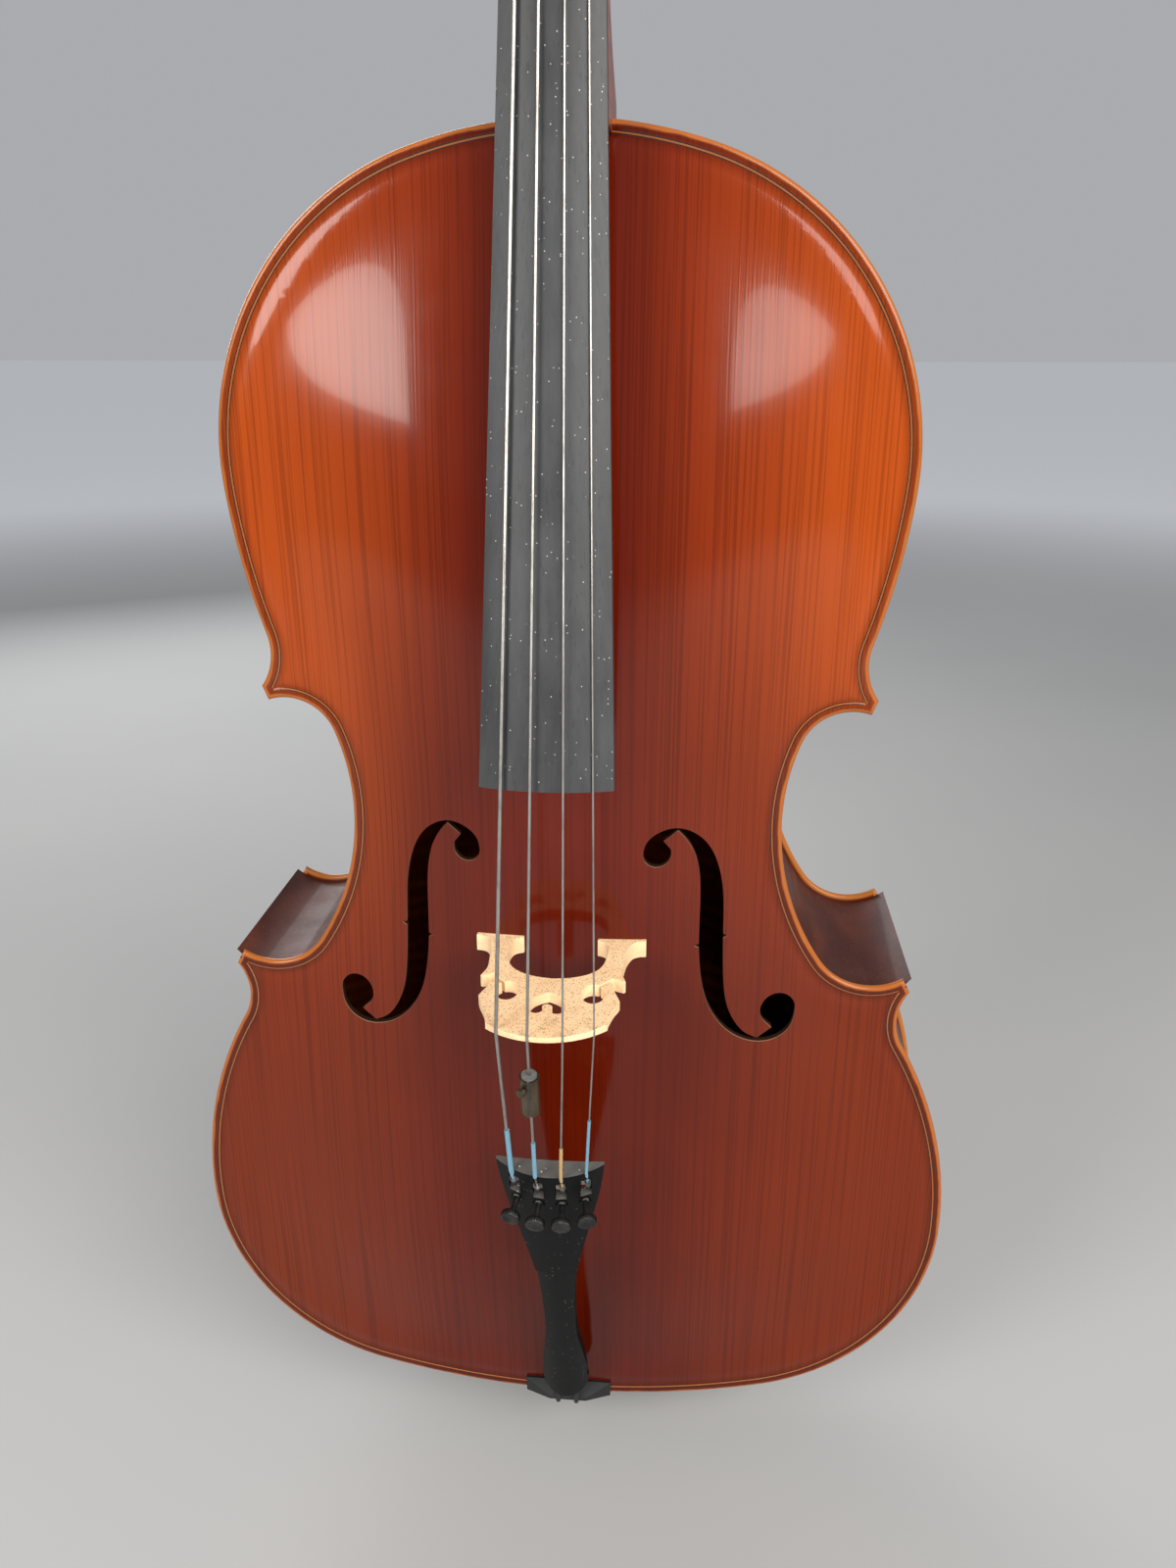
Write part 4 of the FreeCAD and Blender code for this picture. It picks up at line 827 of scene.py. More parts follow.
def ring_at(inset):
    """The outline at an inset, with the same number of points at each one."""
    counts = [(34, 110, 42, 24), (34, 22), (52, 26), (64, 100, 74, 30)]
    halves = []
    for chain, steps in zip(half_chains(inset), counts):
        line = []
        for arc, count in zip(chain, steps):
            angles = np.linspace(arc[3], arc[4], count + 1)[1 if line else 0:]
            line += [(arc[0] + arc[2] * math.cos(a), arc[1] + arc[2] * math.sin(a)) for a in angles]
        halves.append(np.array(line))
    upper, up, down, lower = halves
    right = np.vstack([upper, up[::-1][1:], down[1:], lower[::-1][1:]])
    return np.vstack([right, right[1:-1][::-1] * [-1, 1]])


def make_ribs():
    """The bent sides, each from its own chains of the outline."""
    outer, inner = half_chains(OVERHANG), half_chains(OVERHANG + RIB)
    for name, which in (("upper", [0]), ("waist", [1, 2]), ("lower", [3])):
        lines = []
        for chains in (outer, inner):
            line = []
            for i in which:
                points = [(a[0] + a[2] * math.cos(t), a[1] + a[2] * math.sin(t))
                          for a in chains[i] for t in np.linspace(a[3], a[4], 41)]
                line = line[::-1] + points[1 if line else 0:]
            lines.append(np.array(line))
        y0, y1 = PLATE - 0.2, BODY_DEPTH - PLATE + 0.2
        for side, hand in ((1, "treble"), (-1, "bass")):
            rings = []
            for (ox, oz), (ix, iz) in zip(*lines):
                rings.append([(side * ox, y0, oz), (side * ox, y1, oz), (side * ix, y1, iz),
                              (side * ix, y0, iz)])
            points, faces = tube(rings)
            piece = solid("rib_" + name + "_" + hand + "_bent", points, faces, RIBS, sharp=30)
            merged(piece)
            settle(piece, "maple_varnish", "rib_" + name + "_" + hand)


make_plates()
make_purfling()
make_ribs()


# --- bridge -----------------------------------------------
BRIDGE_Z = 343.0
FOOT_THICK = 10.0
CROWN_THICK = 2.8
TREBLE_SIDE = [(36.1, 77.6), (35.5, 80), (34.1, 83.6), (32.5, 89.6), (31.5, 94.5), (31.3, 97.2)]
BASS_SIDE = [(36.1, 77.6), (35.3, 80.5), (34.0, 84.1), (31.6, 89.5), (29.6, 96.0), (28.7, 100.8)]
EYE = (22.2, 72.8, 6.0, 7.8)                # a side eye: centre and half sizes
EYE_OPENING = (-54, -70)                    # degrees between which the saw cut enters the eye


def bridge_half(side_points):
    """One half of the bridge's rim, from the middle of the arch out to the crown, as (x, height)."""
    arch_side = through([(0, 60.4), (8, 59.3), (14, 57.4), (19.5, 54.2), (23.3, 50), (25.3, 45.5),
                         (26.4, 39.5), (26.8, 33.5), (26.3, 28.3), (24.2, 24.2), (20.4, 22.4)], 1.0)
    leg = through([(46.9, 21.3), (43.0, 22.0), (40.5, 23.8), (38.6, 27.5), (37.0, 33.5), (36.1, 42),
                   (35.6, 49.5), (35.8, 53.5), (36.9, 57), (38.0, 60.2)], 1.0)
    angles = np.radians(np.linspace(EYE_OPENING[1], EYE_OPENING[0] - 360, 44))
    turn = np.column_stack([EYE[0] + EYE[2] * np.cos(angles), EYE[1] + EYE[3] * np.sin(angles)])
    wing = through([(31.2, 61.3), (32.0, 65.5), (33.2, 70.1), (35.0, 74.6), (36.1, 77.6)], 1.0)
    return np.vstack([arch_side[:-1], even([(20.4, 22.4), (20.3, 12)], 1.5)[:-1],
                      even([(20.3, 12), (46.9, 12)], 1.5)[:-1], even([(46.9, 12), (46.9, 21.3)], 1.5)[:-1],
                      leg, [(37.0, 61.2)], even([(31.4, 58.7), turn[0]], 1.2)[:-1], turn[:-1],
                      even([turn[-1], (31.2, 61.3)], 1.2)[:-1], wing[:-1], through(side_points, 1.0)[:-1]])


def bridge_face():
    """The bridge's outline and its heart, as (x, height)."""
    flip = np.array([-1, 1])
    crown = arc_through((31.3, 97.2), (0.5, 110.8), (-28.7, 100.8), 1.5)
    rim = np.vstack([bridge_half(TREBLE_SIDE), crown, (bridge_half(BASS_SIDE) * flip)[::-1][:-1]])
    half = through([(0, 73.3), (5.8, 77.2), (8.7, 82.5), (9.1, 86.2), (7.6, 89.5), (5.2, 90.5), (2.7, 89.2),
                    (1.7, 86.6), (2.6, 84.6), (0, 82.5)], 0.8)
    return rim, [np.vstack([half, (half * flip)[::-1][1:-1]])]


def clockwise(loop):
    x, z = loop[:, 0], loop[:, 1]
    area = (x * np.roll(z, -1) - np.roll(x, -1) * z).sum()
    return loop if area < 0 else loop[::-1]


def bridge_back(height):
    """The bridge's thickness: even at the feet, then tapering to the crown."""
    return np.interp(height, [10, 30, 110.8], [FOOT_THICK, FOOT_THICK - 0.4, CROWN_THICK])


def make_bridge():
    rim, openings = bridge_face()
    loops = [clockwise(rim)] + [clockwise(o) for o in openings]
    bevel = 0.35
    grid = np.array([(x, h) for x in np.arange(-46, 47, 2.4) for h in np.arange(12, 117, 2.4)])
    inner_rim = inward(loops[0], bevel)
    inner_holes = [inward(o, -bevel) for o in loops[1:]]
    grid = grid[inside(grid, inner_rim) & (off_line(grid, inner_rim) > 0.9)]
    for hole in inner_holes:
        grid = grid[~inside(grid, hole) & (off_line(grid, hole) > 0.9)]
    places, faces = flat_net(inner_rim, inner_holes, grid)
    count = len(places)

    def at(flat, z_offset, from_back):
        height = flat[:, 1].copy()
        z = BRIDGE_Z + (bridge_back(height) - z_offset if from_back else np.full(len(flat), z_offset))
        foot = height < 12.6
        height[foot] = arch(flat[foot, 0], z[foot]) - 0.25
        return np.column_stack([flat[:, 0], -height, z])

    outer = np.vstack(loops)
    points = np.vstack([at(places, 0, False), at(places, 0, True), at(outer, bevel, False),
                        at(outer, bevel, True)])
    all_faces = faces.tolist() + (faces[:, ::-1] + count).tolist()
    base = 0
    for loop in loops:
        n = len(loop)
        for i in range(n):
            j = (i + 1) % n
            a, b = base + i, base + j
            c, d = 2 * count + a, 2 * count + b
            e, f = c + len(outer), d + len(outer)
            all_faces += [(a, b, d, c), (c, d, f, e), (e, f, count + b, count + a)]
        base += n
    piece = solid("bridge_carved", points, all_faces, BRIDGE, sharp=32)
    settle(piece, "bare_maple", "bridge")


make_bridge()


# --- neck and head -----------------------------------------------
BOARD_SLOPE = 0.1745                        # the fingerboard leans back by this much for each millimetre up
NUT_Y = 13.86
NUT_Z = 1035.0
PEG_DEPTH = 19.0
PEG_UP = {"c": 27.0, "a": 52.0, "g": 84.0, "d": 110.0}
PEG_SIDE = {"c": -1, "g": -1, "d": 1, "a": 1}
WINDING_X = {"c": -7.0, "g": -5.0, "d": 5.0, "a": 7.0}
STRING_RADIUS = {"c": 0.95, "g": 0.75, "d": 0.55, "a": 0.45}
PEG_RADIUS = 6.75                           # under the string's turns
NECK_LEAN = math.atan(BOARD_SLOPE)
BOARD_LENGTH = 580.5
NUT_WIDTH = 32.0
END_WIDTH = 64.5
GLUE_DEPTH = 9.1                            # the fingerboard's underside behind its front at the nut
GLUE_GROWTH = 7.0                           # and how much deeper it is at the fingerboard's end
NECK_DEPTH = 19.0
HEEL_TOP = 850.0                            # heights in the layout where the heel begins to leave the shaft
HEEL_FULL = 790.0                           # and where it has its own section
HEEL_HALF = 14.0
HEEL_BACK = 117.6
HEEL_FOOT = 747.5
SHAFT_DOWN = 180.0                          # distances down the neck at the heel's beginning, at the body's
HEEL_DOWN = 283.0                           # edge, and at the bottom of the mortise
MORTISE_DOWN = 290.0
SCROLL_Y = 33.0
SCROLL_Z = 176.0
SCROLL_RADIUS = 33.6
SCROLL_TURNS = 2.9
SCROLL_START = math.radians(150)            # where the volute leaves the pegbox's back
SCROLL_SHRINK = 1.72                        # the volute's radius falls by e to this power


def neck_place(points):
    """Points of the neck's own frame in the layout: across, behind the fingerboard's front, up from the nut."""
    p = np.asarray(points, float)
    c, s = math.cos(NECK_LEAN), math.sin(NECK_LEAN)
    return np.column_stack([p[:, 0], NUT_Y + p[:, 1] * c + p[:, 2] * s, NUT_Z - p[:, 1] * s + p[:, 2] * c])


def glue_line(down):
    """The flat underside of the fingerboard: its half width and its place in the side view."""
    half = (NUT_WIDTH + (END_WIDTH - NUT_WIDTH) * down / BOARD_LENGTH) / 2
    depth = GLUE_DEPTH + GLUE_GROWTH * down / BOARD_LENGTH
    place = neck_place([(0, depth, -down)])[0]
    return half, place[1], place[2]


def make_shaft():
    """The neck's shaft, running into the heel that is let into the body."""
    shaft = [neck_place([(0, GLUE_DEPTH + NECK_DEPTH + 0.025 * d, -d)])[0] for d in (0, 40, 80, 120, 150)]
    back = [(p[1], p[2]) for p in shaft] + [(15.5, 836), (23, 815), (34, 803.5), (50, 795.5), (80, 786),
                                            (112, 779.5), (HEEL_BACK, 777.6)]
    line = through(back, 1.0)
    line = line[np.unique(np.linspace(0, len(line) - 1, 150).astype(int))]
    leaves = np.searchsorted(-line[:, 1], -HEEL_TOP)
    rings = []
    for i, (y, z) in enumerate(line):
        heel = np.interp(z, [HEEL_FULL, HEEL_TOP], [1.0, 0.0])
        down = np.interp(i, [0, leaves, len(line) - 1], [0, SHAFT_DOWN, HEEL_DOWN])
        half, front_y, front_z = glue_line(down)
        rings.append(neck_ring((front_y, front_z), (y, z), half, heel))
    half, front_y, front_z = glue_line(MORTISE_DOWN)
    rings.append(neck_ring((front_y, HEEL_FOOT), (HEEL_BACK, HEEL_FOOT), half, 1.0))
    points, faces = tube(rings)
    piece = solid("neck_shaft_carved", points, faces, NECK, sharp=40)
    settle(piece, "maple_varnish", "neck")


def neck_ring(front, back, half, heel):
    """A section of the neck between a front and a back point: round for the shaft, squarer for the heel."""
    power = 2.0 + 2.6 * heel
    start = 0.22 * (1 - heel)
    ring = []
    for t in np.linspace(0, 1, 25):
        u = max(0.0, (t - start) / (1 - start))
        narrow = half + (HEEL_HALF - half) * u * heel
        # Even steps in angle keep the round back smooth.
        turn = u * math.pi / 2
        depth = start + (1 - start) * math.sin(turn) ** (2 / power) if u > 0 else t
        width = narrow * math.cos(turn) ** (2 / power)
        ring.append((width, depth))
    ring += [(-w, d) for w, d in ring[::-1][1:]]
    return [(w, front[0] + (back[0] - front[0]) * d, front[1] + (back[1] - front[1]) * d) for w, d in ring]


def box_section(z):
    """The pegbox's section at a height: outside round the back, then the trough, as (x, y)."""
    front = np.interp(z, [-4, 0, 12, 60, 110, 143, 150], [9.1, 9.1, 4.5, 4.0, 8.0, 17.0, 24.0])
    back = np.interp(z, [-5, 4, 30, 70, 110, 140, 150], [28.0, 38.0, 45.0, 48.0, 48.2, 48.8, 50.3])
    wide = np.interp(z, [-5, 2, 12, 80, 150], [15.5, 17.5, 21.3, 19.6, 15.6])
    ease = 2.2
    outer = [(wide - 1.0, front), (wide, front + 1.0)]
    outer += [(wide + 0.4, y) for y in np.linspace(front + 4, back - 6, 6)]
    groove = np.interp(z, [10, 40], [0.0, 2.2])
    outer += [(wide, back - ease - 1), (wide - 0.8, back - 1.2), (wide - ease, back - 0.4)]
    for t in np.linspace(0.85, 0.0, 9):
        outer.append((t * (wide - ease), back - groove * math.sin(math.pi * min(1, t * 1.05)) ** 0.8))
    trough = np.interp(z, [9, 80, 132], [12.0, 11.0, 7.0])
    floor = np.interp(z, [9, 25, 60, 100, 132], [24.0, 33.0, 37.0, 34.0, 26.0])
    inner = [(trough, front), (trough, floor - 3), (trough - 1.5, floor - 0.8), (trough - 3.5, floor),
             (0, floor)]
    if z < 9 or z > 132:
        inner = [(x, front) for x, _ in inner]
    path = outer + [(-x, y) for x, y in outer[::-1][1:]]
    path += [(-x, y) for x, y in inner] + [(x, y) for x, y in inner[::-1][1:]]
    return [(x, y, z) for x, y in path]


def scroll_rings():
    """Slices of the volute from its middle line to its rim; each turn stands further out than the last."""
    rings = []
    for t in np.linspace(0, 1, 150):
        angle = SCROLL_START - SCROLL_TURNS * 2 * math.pi * t
        radius = SCROLL_RADIUS * math.exp(-SCROLL_SHRINK * max(0.0, t - 0.10))
        half = np.interp(t, [0, 0.10, 0.42, 0.75, 1.0], [15.4, 15.6, 19.5, 25.5, 30.2])
        chamfer = 1.6 * math.exp(-0.6 * t)
        cove = 3.0 * math.exp(-0.9 * t)
        groove = np.interp(t, [0, 0.3, 0.42], [2.2, 1.8, 0.0])
        rim = [(0.0, half - cove * 0.2), (radius * 0.45, half - cove * 0.7), (radius * 0.72, half - cove),
               (radius - 3.2 * chamfer, half - cove * 0.45), (radius - 1.2 * chamfer, half),
               (radius - 0.25, half - chamfer), (radius, half - 1.8 * chamfer)]
        for u in (0.8, 0.65, 0.5, 0.35, 0.2, 0.0):
            rim.append((radius - groove * math.sin(math.pi * u) ** 0.8, u * (half - 1.8 * chamfer)))
        rim += [(r, -x) for r, x in rim[::-1][1:]]
        c, s = math.cos(angle), math.sin(angle)
        rings.append([(x, SCROLL_Y + r * s, SCROLL_Z + r * c) for r, x in rim])
    return rings


CARVING_GRAIN = 0.00085                     # size of the remesh's cells, in metres


def make_head():
    """Pegbox and scroll, joined into one skin by remeshing and then smoothed."""
    heights = [-4, -2, 0, 2, 5, 8.9, 9.1] + list(range(12, 132, 4)) + [131.9, 132.1, 136, 140, 144, 148]
    points, faces = joined(tube([box_section(z) for z in heights]), tube(scroll_rings()))
    rough = solid("head_rough", neck_place(points), faces, NECK)
    whole = rough.modifiers.new("one_skin", "REMESH")
    whole.mode = "VOXEL"
    whole.voxel_size = CARVING_GRAIN
    soft = rough.modifiers.new("softened", "SMOOTH")
    soft.factor = 0.5
    soft.iterations = 3
    plain = baked(rough, "head_carved", Matrix.Identity(4))
    plain.data.materials.clear()
    plain.data.materials.append(NECK)
    plain.data.shade_smooth()
    settle(plain, "maple_varnish", "neck")


def baked(maker, name, place):
    """The evaluated object as a plain piece of its own, moved to its place; the maker goes."""
    bpy.context.view_layer.update()
    mesh = bpy.data.meshes.new_from_object(maker.evaluated_get(bpy.context.evaluated_depsgraph_get()))
    mesh.name = name
    mesh.transform(place)
    piece = bpy.data.objects.new(name, mesh)
    bpy.context.scene.collection.objects.link(piece)
    bpy.data.objects.remove(maker)
    return piece


make_shaft()
make_head()


# --- pegs -----------------------------------------------
# Distance along the peg from the pegbox's middle, half height along the neck, and half thickness.
PEG_PROFILE = [(-25, 5.6, 5.6), (25, 7, 7), (26.8, 7, 7), (27.2, 8.9, 8.9), (27.8, 9.5, 9.5),
               (29.7, 9.5, 9.5), (30.4, 8.9, 8.9), (31, 6.4, 6.4), (33, 5.7, 5.7), (37, 5.2, 5.2),
               (41, 5.8, 5.0), (44, 8.2, 4.9), (47, 11.2, 5.0), (50, 13.6, 5.2), (53, 14.8, 5.4),
               (56, 14.9, 5.4), (59, 14.0, 5.4), (62, 12.1, 5.3), (65, 9.2, 4.9), (67, 6.3, 4.2),
               (68.2, 3.9, 3.5), (68.8, 3.1, 3.1), (70.5, 3.2, 3.2), (72, 2.5, 2.5), (72.9, 1.3, 1.3),
               (73.15, 0.3, 0.3)]


def make_pegs():
    """Turned and pinched ebony pegs, each in its own place across the pegbox."""
    for s in STRINGS:
        side = PEG_SIDE[s]
        rings = []
        for out, tall, thick in PEG_PROFILE:
            turn = np.linspace(0, 2 * math.pi, 49)[:-1]
            pinch = np.interp(out, [41, 47, 62, 66], [0.0, 1.0, 1.0, 0.0])
            y = np.sin(turn) * thick * (1 - 0.22 * pinch * (1 - np.abs(np.cos(turn))))
            rings.append(np.column_stack([np.full(48, side * out), PEG_DEPTH + y,
                                          PEG_UP[s] + np.cos(turn) * tall]))
        points, faces = tube(rings)
        piece = solid("peg_turned_" + s, neck_place(points), faces, EBONY, sharp=35)
        settle(piece, "ebony", "peg_" + s, body="peg_" + s)


make_pegs()


# --- pieces that repeat or follow a line ---------------------------------------------
def helix_tree():
    """A round thread wound as a helix, with its sizes as inputs."""
    tree = bpy.data.node_groups.new("helix", "GeometryNodeTree")
    names = {}
    for name, kind in (("Turns", "NodeSocketFloat"), ("Height", "NodeSocketFloat"),
                       ("Start Radius", "NodeSocketFloat"), ("End Radius", "NodeSocketFloat"),
                       ("Thread", "NodeSocketFloat"), ("Finish", "NodeSocketMaterial")):
        names[name] = tree.interface.new_socket(name=name, in_out="INPUT", socket_type=kind).identifier
    tree.interface.new_socket(name="Geometry", in_out="OUTPUT", socket_type="NodeSocketGeometry")

    def node(kind):
        return tree.nodes.new(kind)

    given = node("NodeGroupInput")
    spiral = node("GeometryNodeCurveSpiral")
    spiral.inputs["Resolution"].default_value = 40
    profile = node("GeometryNodeCurvePrimitiveCircle")
    profile.inputs["Resolution"].default_value = 12
    skin = node("GeometryNodeCurveToMesh")
    skin.inputs["Fill Caps"].default_value = True
    real = node("GeometryNodeRealizeInstances")
    paint = node("GeometryNodeSetMaterial")
    out = node("NodeGroupOutput")
    link = tree.links.new
    link(given.outputs["Turns"], spiral.inputs["Rotations"])
    link(given.outputs["Height"], spiral.inputs["Height"])
    link(given.outputs["Start Radius"], spiral.inputs["Start Radius"])
    link(given.outputs["End Radius"], spiral.inputs["End Radius"])
    link(given.outputs["Thread"], profile.inputs["Radius"])
    link(spiral.outputs["Curve"], skin.inputs["Curve"])
    link(profile.outputs["Curve"], skin.inputs["Profile Curve"])
    link(skin.outputs["Mesh"], real.inputs["Geometry"])
    link(real.outputs["Geometry"], paint.inputs["Geometry"])
    link(given.outputs["Finish"], paint.inputs["Material"])
    link(paint.outputs["Geometry"], out.inputs["Geometry"])
    return tree, names


HELIX, HELIX_INPUTS = helix_tree()


def wound(name, start, end, turns, radii, thread, material):
    """A helix from one layout point to another, in millimetres."""
    maker = bpy.data.objects.new(name + "_maker", bpy.data.meshes.new(name + "_maker"))
    bpy.context.scene.collection.objects.link(maker)
    modifier = maker.modifiers.new("helix", "NODES")
    modifier.node_group = HELIX
    start, end = np.asarray(start, float), np.asarray(end, float)
    sizes = {"Turns": float(turns), "Height": float(np.linalg.norm(end - start)) * MM,
             "Start Radius": radii[0] * MM, "End Radius": radii[1] * MM, "Thread": thread * MM,
             "Finish": material}
    for key, value in sizes.items():
        modifier[HELIX_INPUTS[key]] = value
    spin = Vector(end - start).to_track_quat("Z", "Y").to_matrix().to_4x4()
    piece = baked(maker, name, Matrix.Translation(Vector(home(start))) @ spin)
    piece.data.shade_smooth()
    return piece


def make_windings():
    """Five turns of each string on its peg."""
    for s in STRINGS:
        radius = STRING_RADIUS[s]
        x0 = WINDING_X[s] - 4 + radius
        x1 = x0 + 8 * radius + 0.4
        ends = neck_place([(x0, PEG_DEPTH, PEG_UP[s]), (x1, PEG_DEPTH, PEG_UP[s])])
        turn = PEG_RADIUS + radius
        piece = wound("string_turns_" + s, ends[0], ends[1], 4.9, (turn, turn), radius, WINDING)
        settle(piece, "string_winding", "string_winding_" + s, body="peg_" + s)


END_REACH = 0.002                           # metres of a node's end that count as its end


def long_axis(node):
    """The ends of a slender node's middle line, in the layout's millimetres, lower end first."""
    vertices = np.array([v.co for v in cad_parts[node].data.vertices])
    middle = vertices.mean(axis=0)
    run = np.linalg.svd(vertices - middle, full_matrices=False)[2][0]
    run = run if run[2] > 0 else -run
    along = (vertices - middle) @ run
    ends = [vertices[along < along.min() + END_REACH], vertices[along > along.max() - END_REACH]]
    return [(end.mean(axis=0) - np.array([0.0, BODY_Y, BODY_Z])) / MM for end in ends]


THREAD_MARGIN = 1.2                         # left free at each end of the silk
THREAD_PITCH = 5.0


def make_silk_thread():
    """The dark thread that winds up the yellow silk."""
    low, high = long_axis("silk_yellow")
    length = np.linalg.norm(high - low)
    margin = (high - low) / length * THREAD_MARGIN
    turns = (length - 2 * THREAD_MARGIN) / THREAD_PITCH
    piece = wound("silk_thread", low + margin, high - margin, turns, (0.78, 0.78), 0.16, BLACK_STEEL)
    settle(piece, "silk_yellow")


make_windings()
make_silk_thread()


# --- fine tuners -----------------------------------------------
SCREW_UP = 219.0                            # the screws' height above the tailpiece's foot, along it
SCREW_SPLAY = 0.0094                        # radians outwards for each millimetre off centre
TAIL_RADIUS = 50.0                          # the round front of the tailpiece's head
TAIL_FOOT = (-17.0, 14.0)
TAIL_LEAN = math.radians(17.48)
TAIL_X = {"c": -20.0, "g": -6.8, "d": 6.8, "a": 20.0}
# Distance out of the tailpiece's face, and radius; the knurled part is marked.
SCREW_PROFILE = [(-6.2, 1.5, 0), (7.6, 1.5, 0), (7.7, 2.3, 0), (9.6, 2.3, 0), (9.75, 3.9, 0), (9.95, 4.9, 1),
                 (10.5, 5.2, 1), (12.6, 5.2, 1), (13.2, 4.95, 1), (13.55, 4.4, 0), (13.55, 3.9, 0),
                 (13.1, 3.3, 0), (12.75, 2.2, 0), (12.65, 1.0, 0), (12.6, 0.15, 0)]
KNURLS = 26
KNURL_DEPTH = 0.10


def make_screws():
    """Round knurled tuner screws, each with its dished head."""
    c, lean = math.cos(TAIL_LEAN), math.sin(TAIL_LEAN)
    for s in STRINGS:
        x = TAIL_X[s] * 0.93
        base = np.array([x, TAIL_RADIUS - math.sqrt(TAIL_RADIUS ** 2 - x * x), SCREW_UP])
        angle = x * SCREW_SPLAY
        out = np.array([math.sin(angle), -math.cos(angle), 0.0])
        aside = np.array([math.cos(angle), math.sin(angle), 0.0])
        up = np.array([0.0, 0.0, 1.0])
        turn = np.linspace(0, 2 * math.pi, KNURLS * 4 + 1)[:-1]
        rings = []
        for reach, radius, knurled in SCREW_PROFILE:
            r = radius + knurled * KNURL_DEPTH * np.cos(turn * KNURLS)
            round_it = np.outer(r * np.cos(turn), aside) + np.outer(r * np.sin(turn), up)
            rings.append(base + out * reach + round_it)
        points, faces = tube(rings)
        placed = np.column_stack([points[:, 0], TAIL_FOOT[0] + points[:, 1] * c - points[:, 2] * lean,
                                  TAIL_FOOT[1] + points[:, 1] * lean + points[:, 2] * c])
        piece = solid("tuner_screw_turned_" + s, placed, faces, BLACK_STEEL, sharp=30)
        settle(piece, "composite", "tuner_screw_" + s, body="tuner_screw_" + s)


make_screws()


# --- carried-over nodes -----------------------------------------------
def finish_nodes(material, *names):
    for name in names:
        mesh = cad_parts[name].data
        mesh.materials.clear()
        mesh.materials.append(material)


finish_nodes(INNER_SPRUCE, "top_linings", "back_linings", "top_block", "bottom_block", "corner_blocks",
             "bass_bar", "sound_post")
finish_nodes(BOARD, "fingerboard")
finish_nodes(EBONY, "nut", "saddle", "endpin_socket")
finish_nodes(COMPOSITE, "tailpiece")
finish_nodes(STEEL, "tuner_pins", "endpin_rod", "endpin_screw")
finish_nodes(GUT, "tail_gut")
finish_nodes(SILK_BLUE, "silks_blue")
finish_nodes(SILK_YELLOW, "silk_yellow")
finish_nodes(RUBBER, "endpin_tip")
finish_nodes(GREY_RUBBER, "wolf_sleeve")
finish_nodes(WOLF_METAL, "wolf_tube", "wolf_screw")
for s in STRINGS:
    finish_nodes(WINDING, "string_" + s)
    finish_nodes(STEEL, "tuner_lever_" + s)


# --- floor, light and camera -----------------------------------------------
def make_stage():
    low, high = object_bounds()
    middle = (Vector(low) + Vector(high)) / 2
    mesh = bpy.data.meshes.new("floor")
    reach = 40.0
    corners = [(middle.x + sx * reach, middle.y + sy * reach, low[2] - 0.0005)
               for sx, sy in ((-1, -1), (1, -1), (1, 1), (-1, 1))]
    mesh.from_pydata(corners, [], [(0, 1, 2, 3)])
    f = Finish("pale_floor")
    blur = f.noise((3, 3, 3), 2.0)
    near = f.mix(blur, (0.42, 0.42, 0.42), (0.45, 0.45, 0.445))
    far = (f.x * f.x + f.y * f.y).rise(2.0, 30.0)
    # The far floor is as pale to the camera as the wall behind it.
    camera = Field(f, f.node("ShaderNodeLightPath").outputs["Is Camera Ray"])
    haze = f.mix(far * camera, (0.0, 0.0, 0.0), (0.20, 0.205, 0.215))
    mesh.materials.append(f.done(f.mix(far, near, (0.80, 0.81, 0.83)), 0.8, Specular_IOR_Level=0.1,
                                Emission_Color=haze, Emission_Strength=1.0))
    floor = bpy.data.objects.new("floor", mesh)
    bpy.context.scene.collection.objects.link(floor)


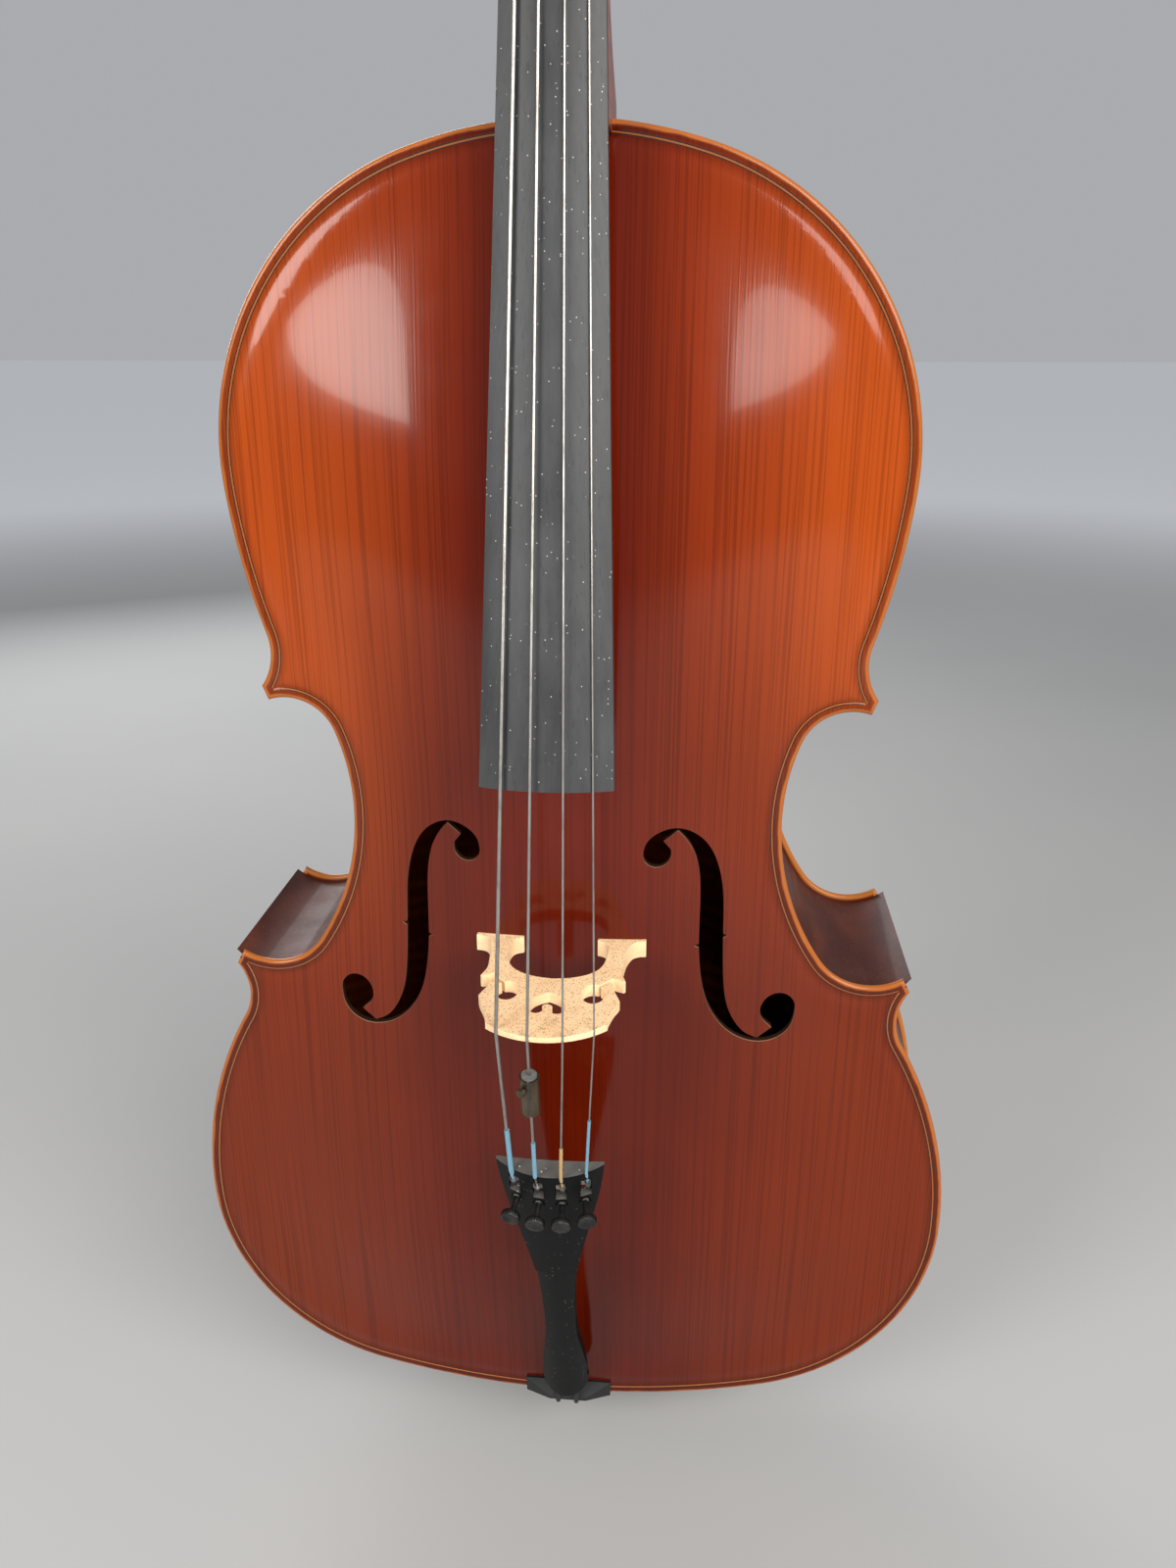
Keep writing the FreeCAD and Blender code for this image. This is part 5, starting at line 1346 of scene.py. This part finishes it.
def make_world():
    world = bpy.data.worlds.new("studio")
    world.use_nodes = True
    tree = world.node_tree
    tree.nodes.clear()
    room = tree.nodes.new("ShaderNodeBackground")
    room.inputs["Color"].default_value = (0.80, 0.83, 0.88, 1.0)
    room.inputs["Strength"].default_value = 0.36
    backdrop = tree.nodes.new("ShaderNodeBackground")
    backdrop.inputs["Color"].default_value = (0.40, 0.41, 0.43, 1.0)
    backdrop.inputs["Strength"].default_value = 1.0
    path = tree.nodes.new("ShaderNodeLightPath")
    mix = tree.nodes.new("ShaderNodeMixShader")
    out = tree.nodes.new("ShaderNodeOutputWorld")
    tree.links.new(path.outputs["Is Camera Ray"], mix.inputs[0])
    tree.links.new(room.outputs[0], mix.inputs[1])
    tree.links.new(backdrop.outputs[0], mix.inputs[2])
    tree.links.new(mix.outputs[0], out.inputs["Surface"])
    bpy.context.scene.world = world


def lamp(name, place, target, size, power, colour):
    """A soft rectangular lamp, placed and aimed by layout points."""
    light = bpy.data.lights.new(name, "AREA")
    light.shape = "RECTANGLE"
    light.size, light.size_y = size
    light.energy = power
    light.color = colour
    piece = bpy.data.objects.new(name, light)
    place, target = Vector(home(place)), Vector(home(target))
    piece.location = place
    piece.rotation_euler = (target - place).to_track_quat("-Z", "Y").to_euler()
    bpy.context.scene.collection.objects.link(piece)


def make_camera():
    camera = bpy.data.cameras.new("camera")
    camera.sensor_fit = "VERTICAL"
    camera.sensor_height = 36.0
    camera.lens = 27.24
    camera.clip_start = 0.01
    piece = bpy.data.objects.new("camera", camera)
    yaw, pitch = math.radians(5.13), math.radians(20.6)
    ahead = Vector((-math.sin(yaw) * math.cos(pitch), math.cos(yaw) * math.cos(pitch), -math.sin(pitch)))
    piece.location = Vector(home((66.78, -598.74, 661.69)))
    piece.rotation_euler = ahead.to_track_quat("-Z", "Y").to_euler()
    bpy.context.scene.collection.objects.link(piece)
    bpy.context.scene.camera = piece


make_stage()
make_world()
lamp("window_left", (-1500, -1900, 1500), (0, 0, 450), (1.0, 1.3), 46, (1.0, 0.97, 0.93))
lamp("window_right", (1580, -1830, 1780), (0, 0, 450), (2.3, 1.7), 98, (1.0, 0.97, 0.93))
lamp("behind", (-1300, 2100, 1500), (0, 0, 500), (1.6, 1.6), 34, (1.0, 1.0, 1.0))
make_camera()
bpy.context.scene.view_settings.view_transform = "Standard"
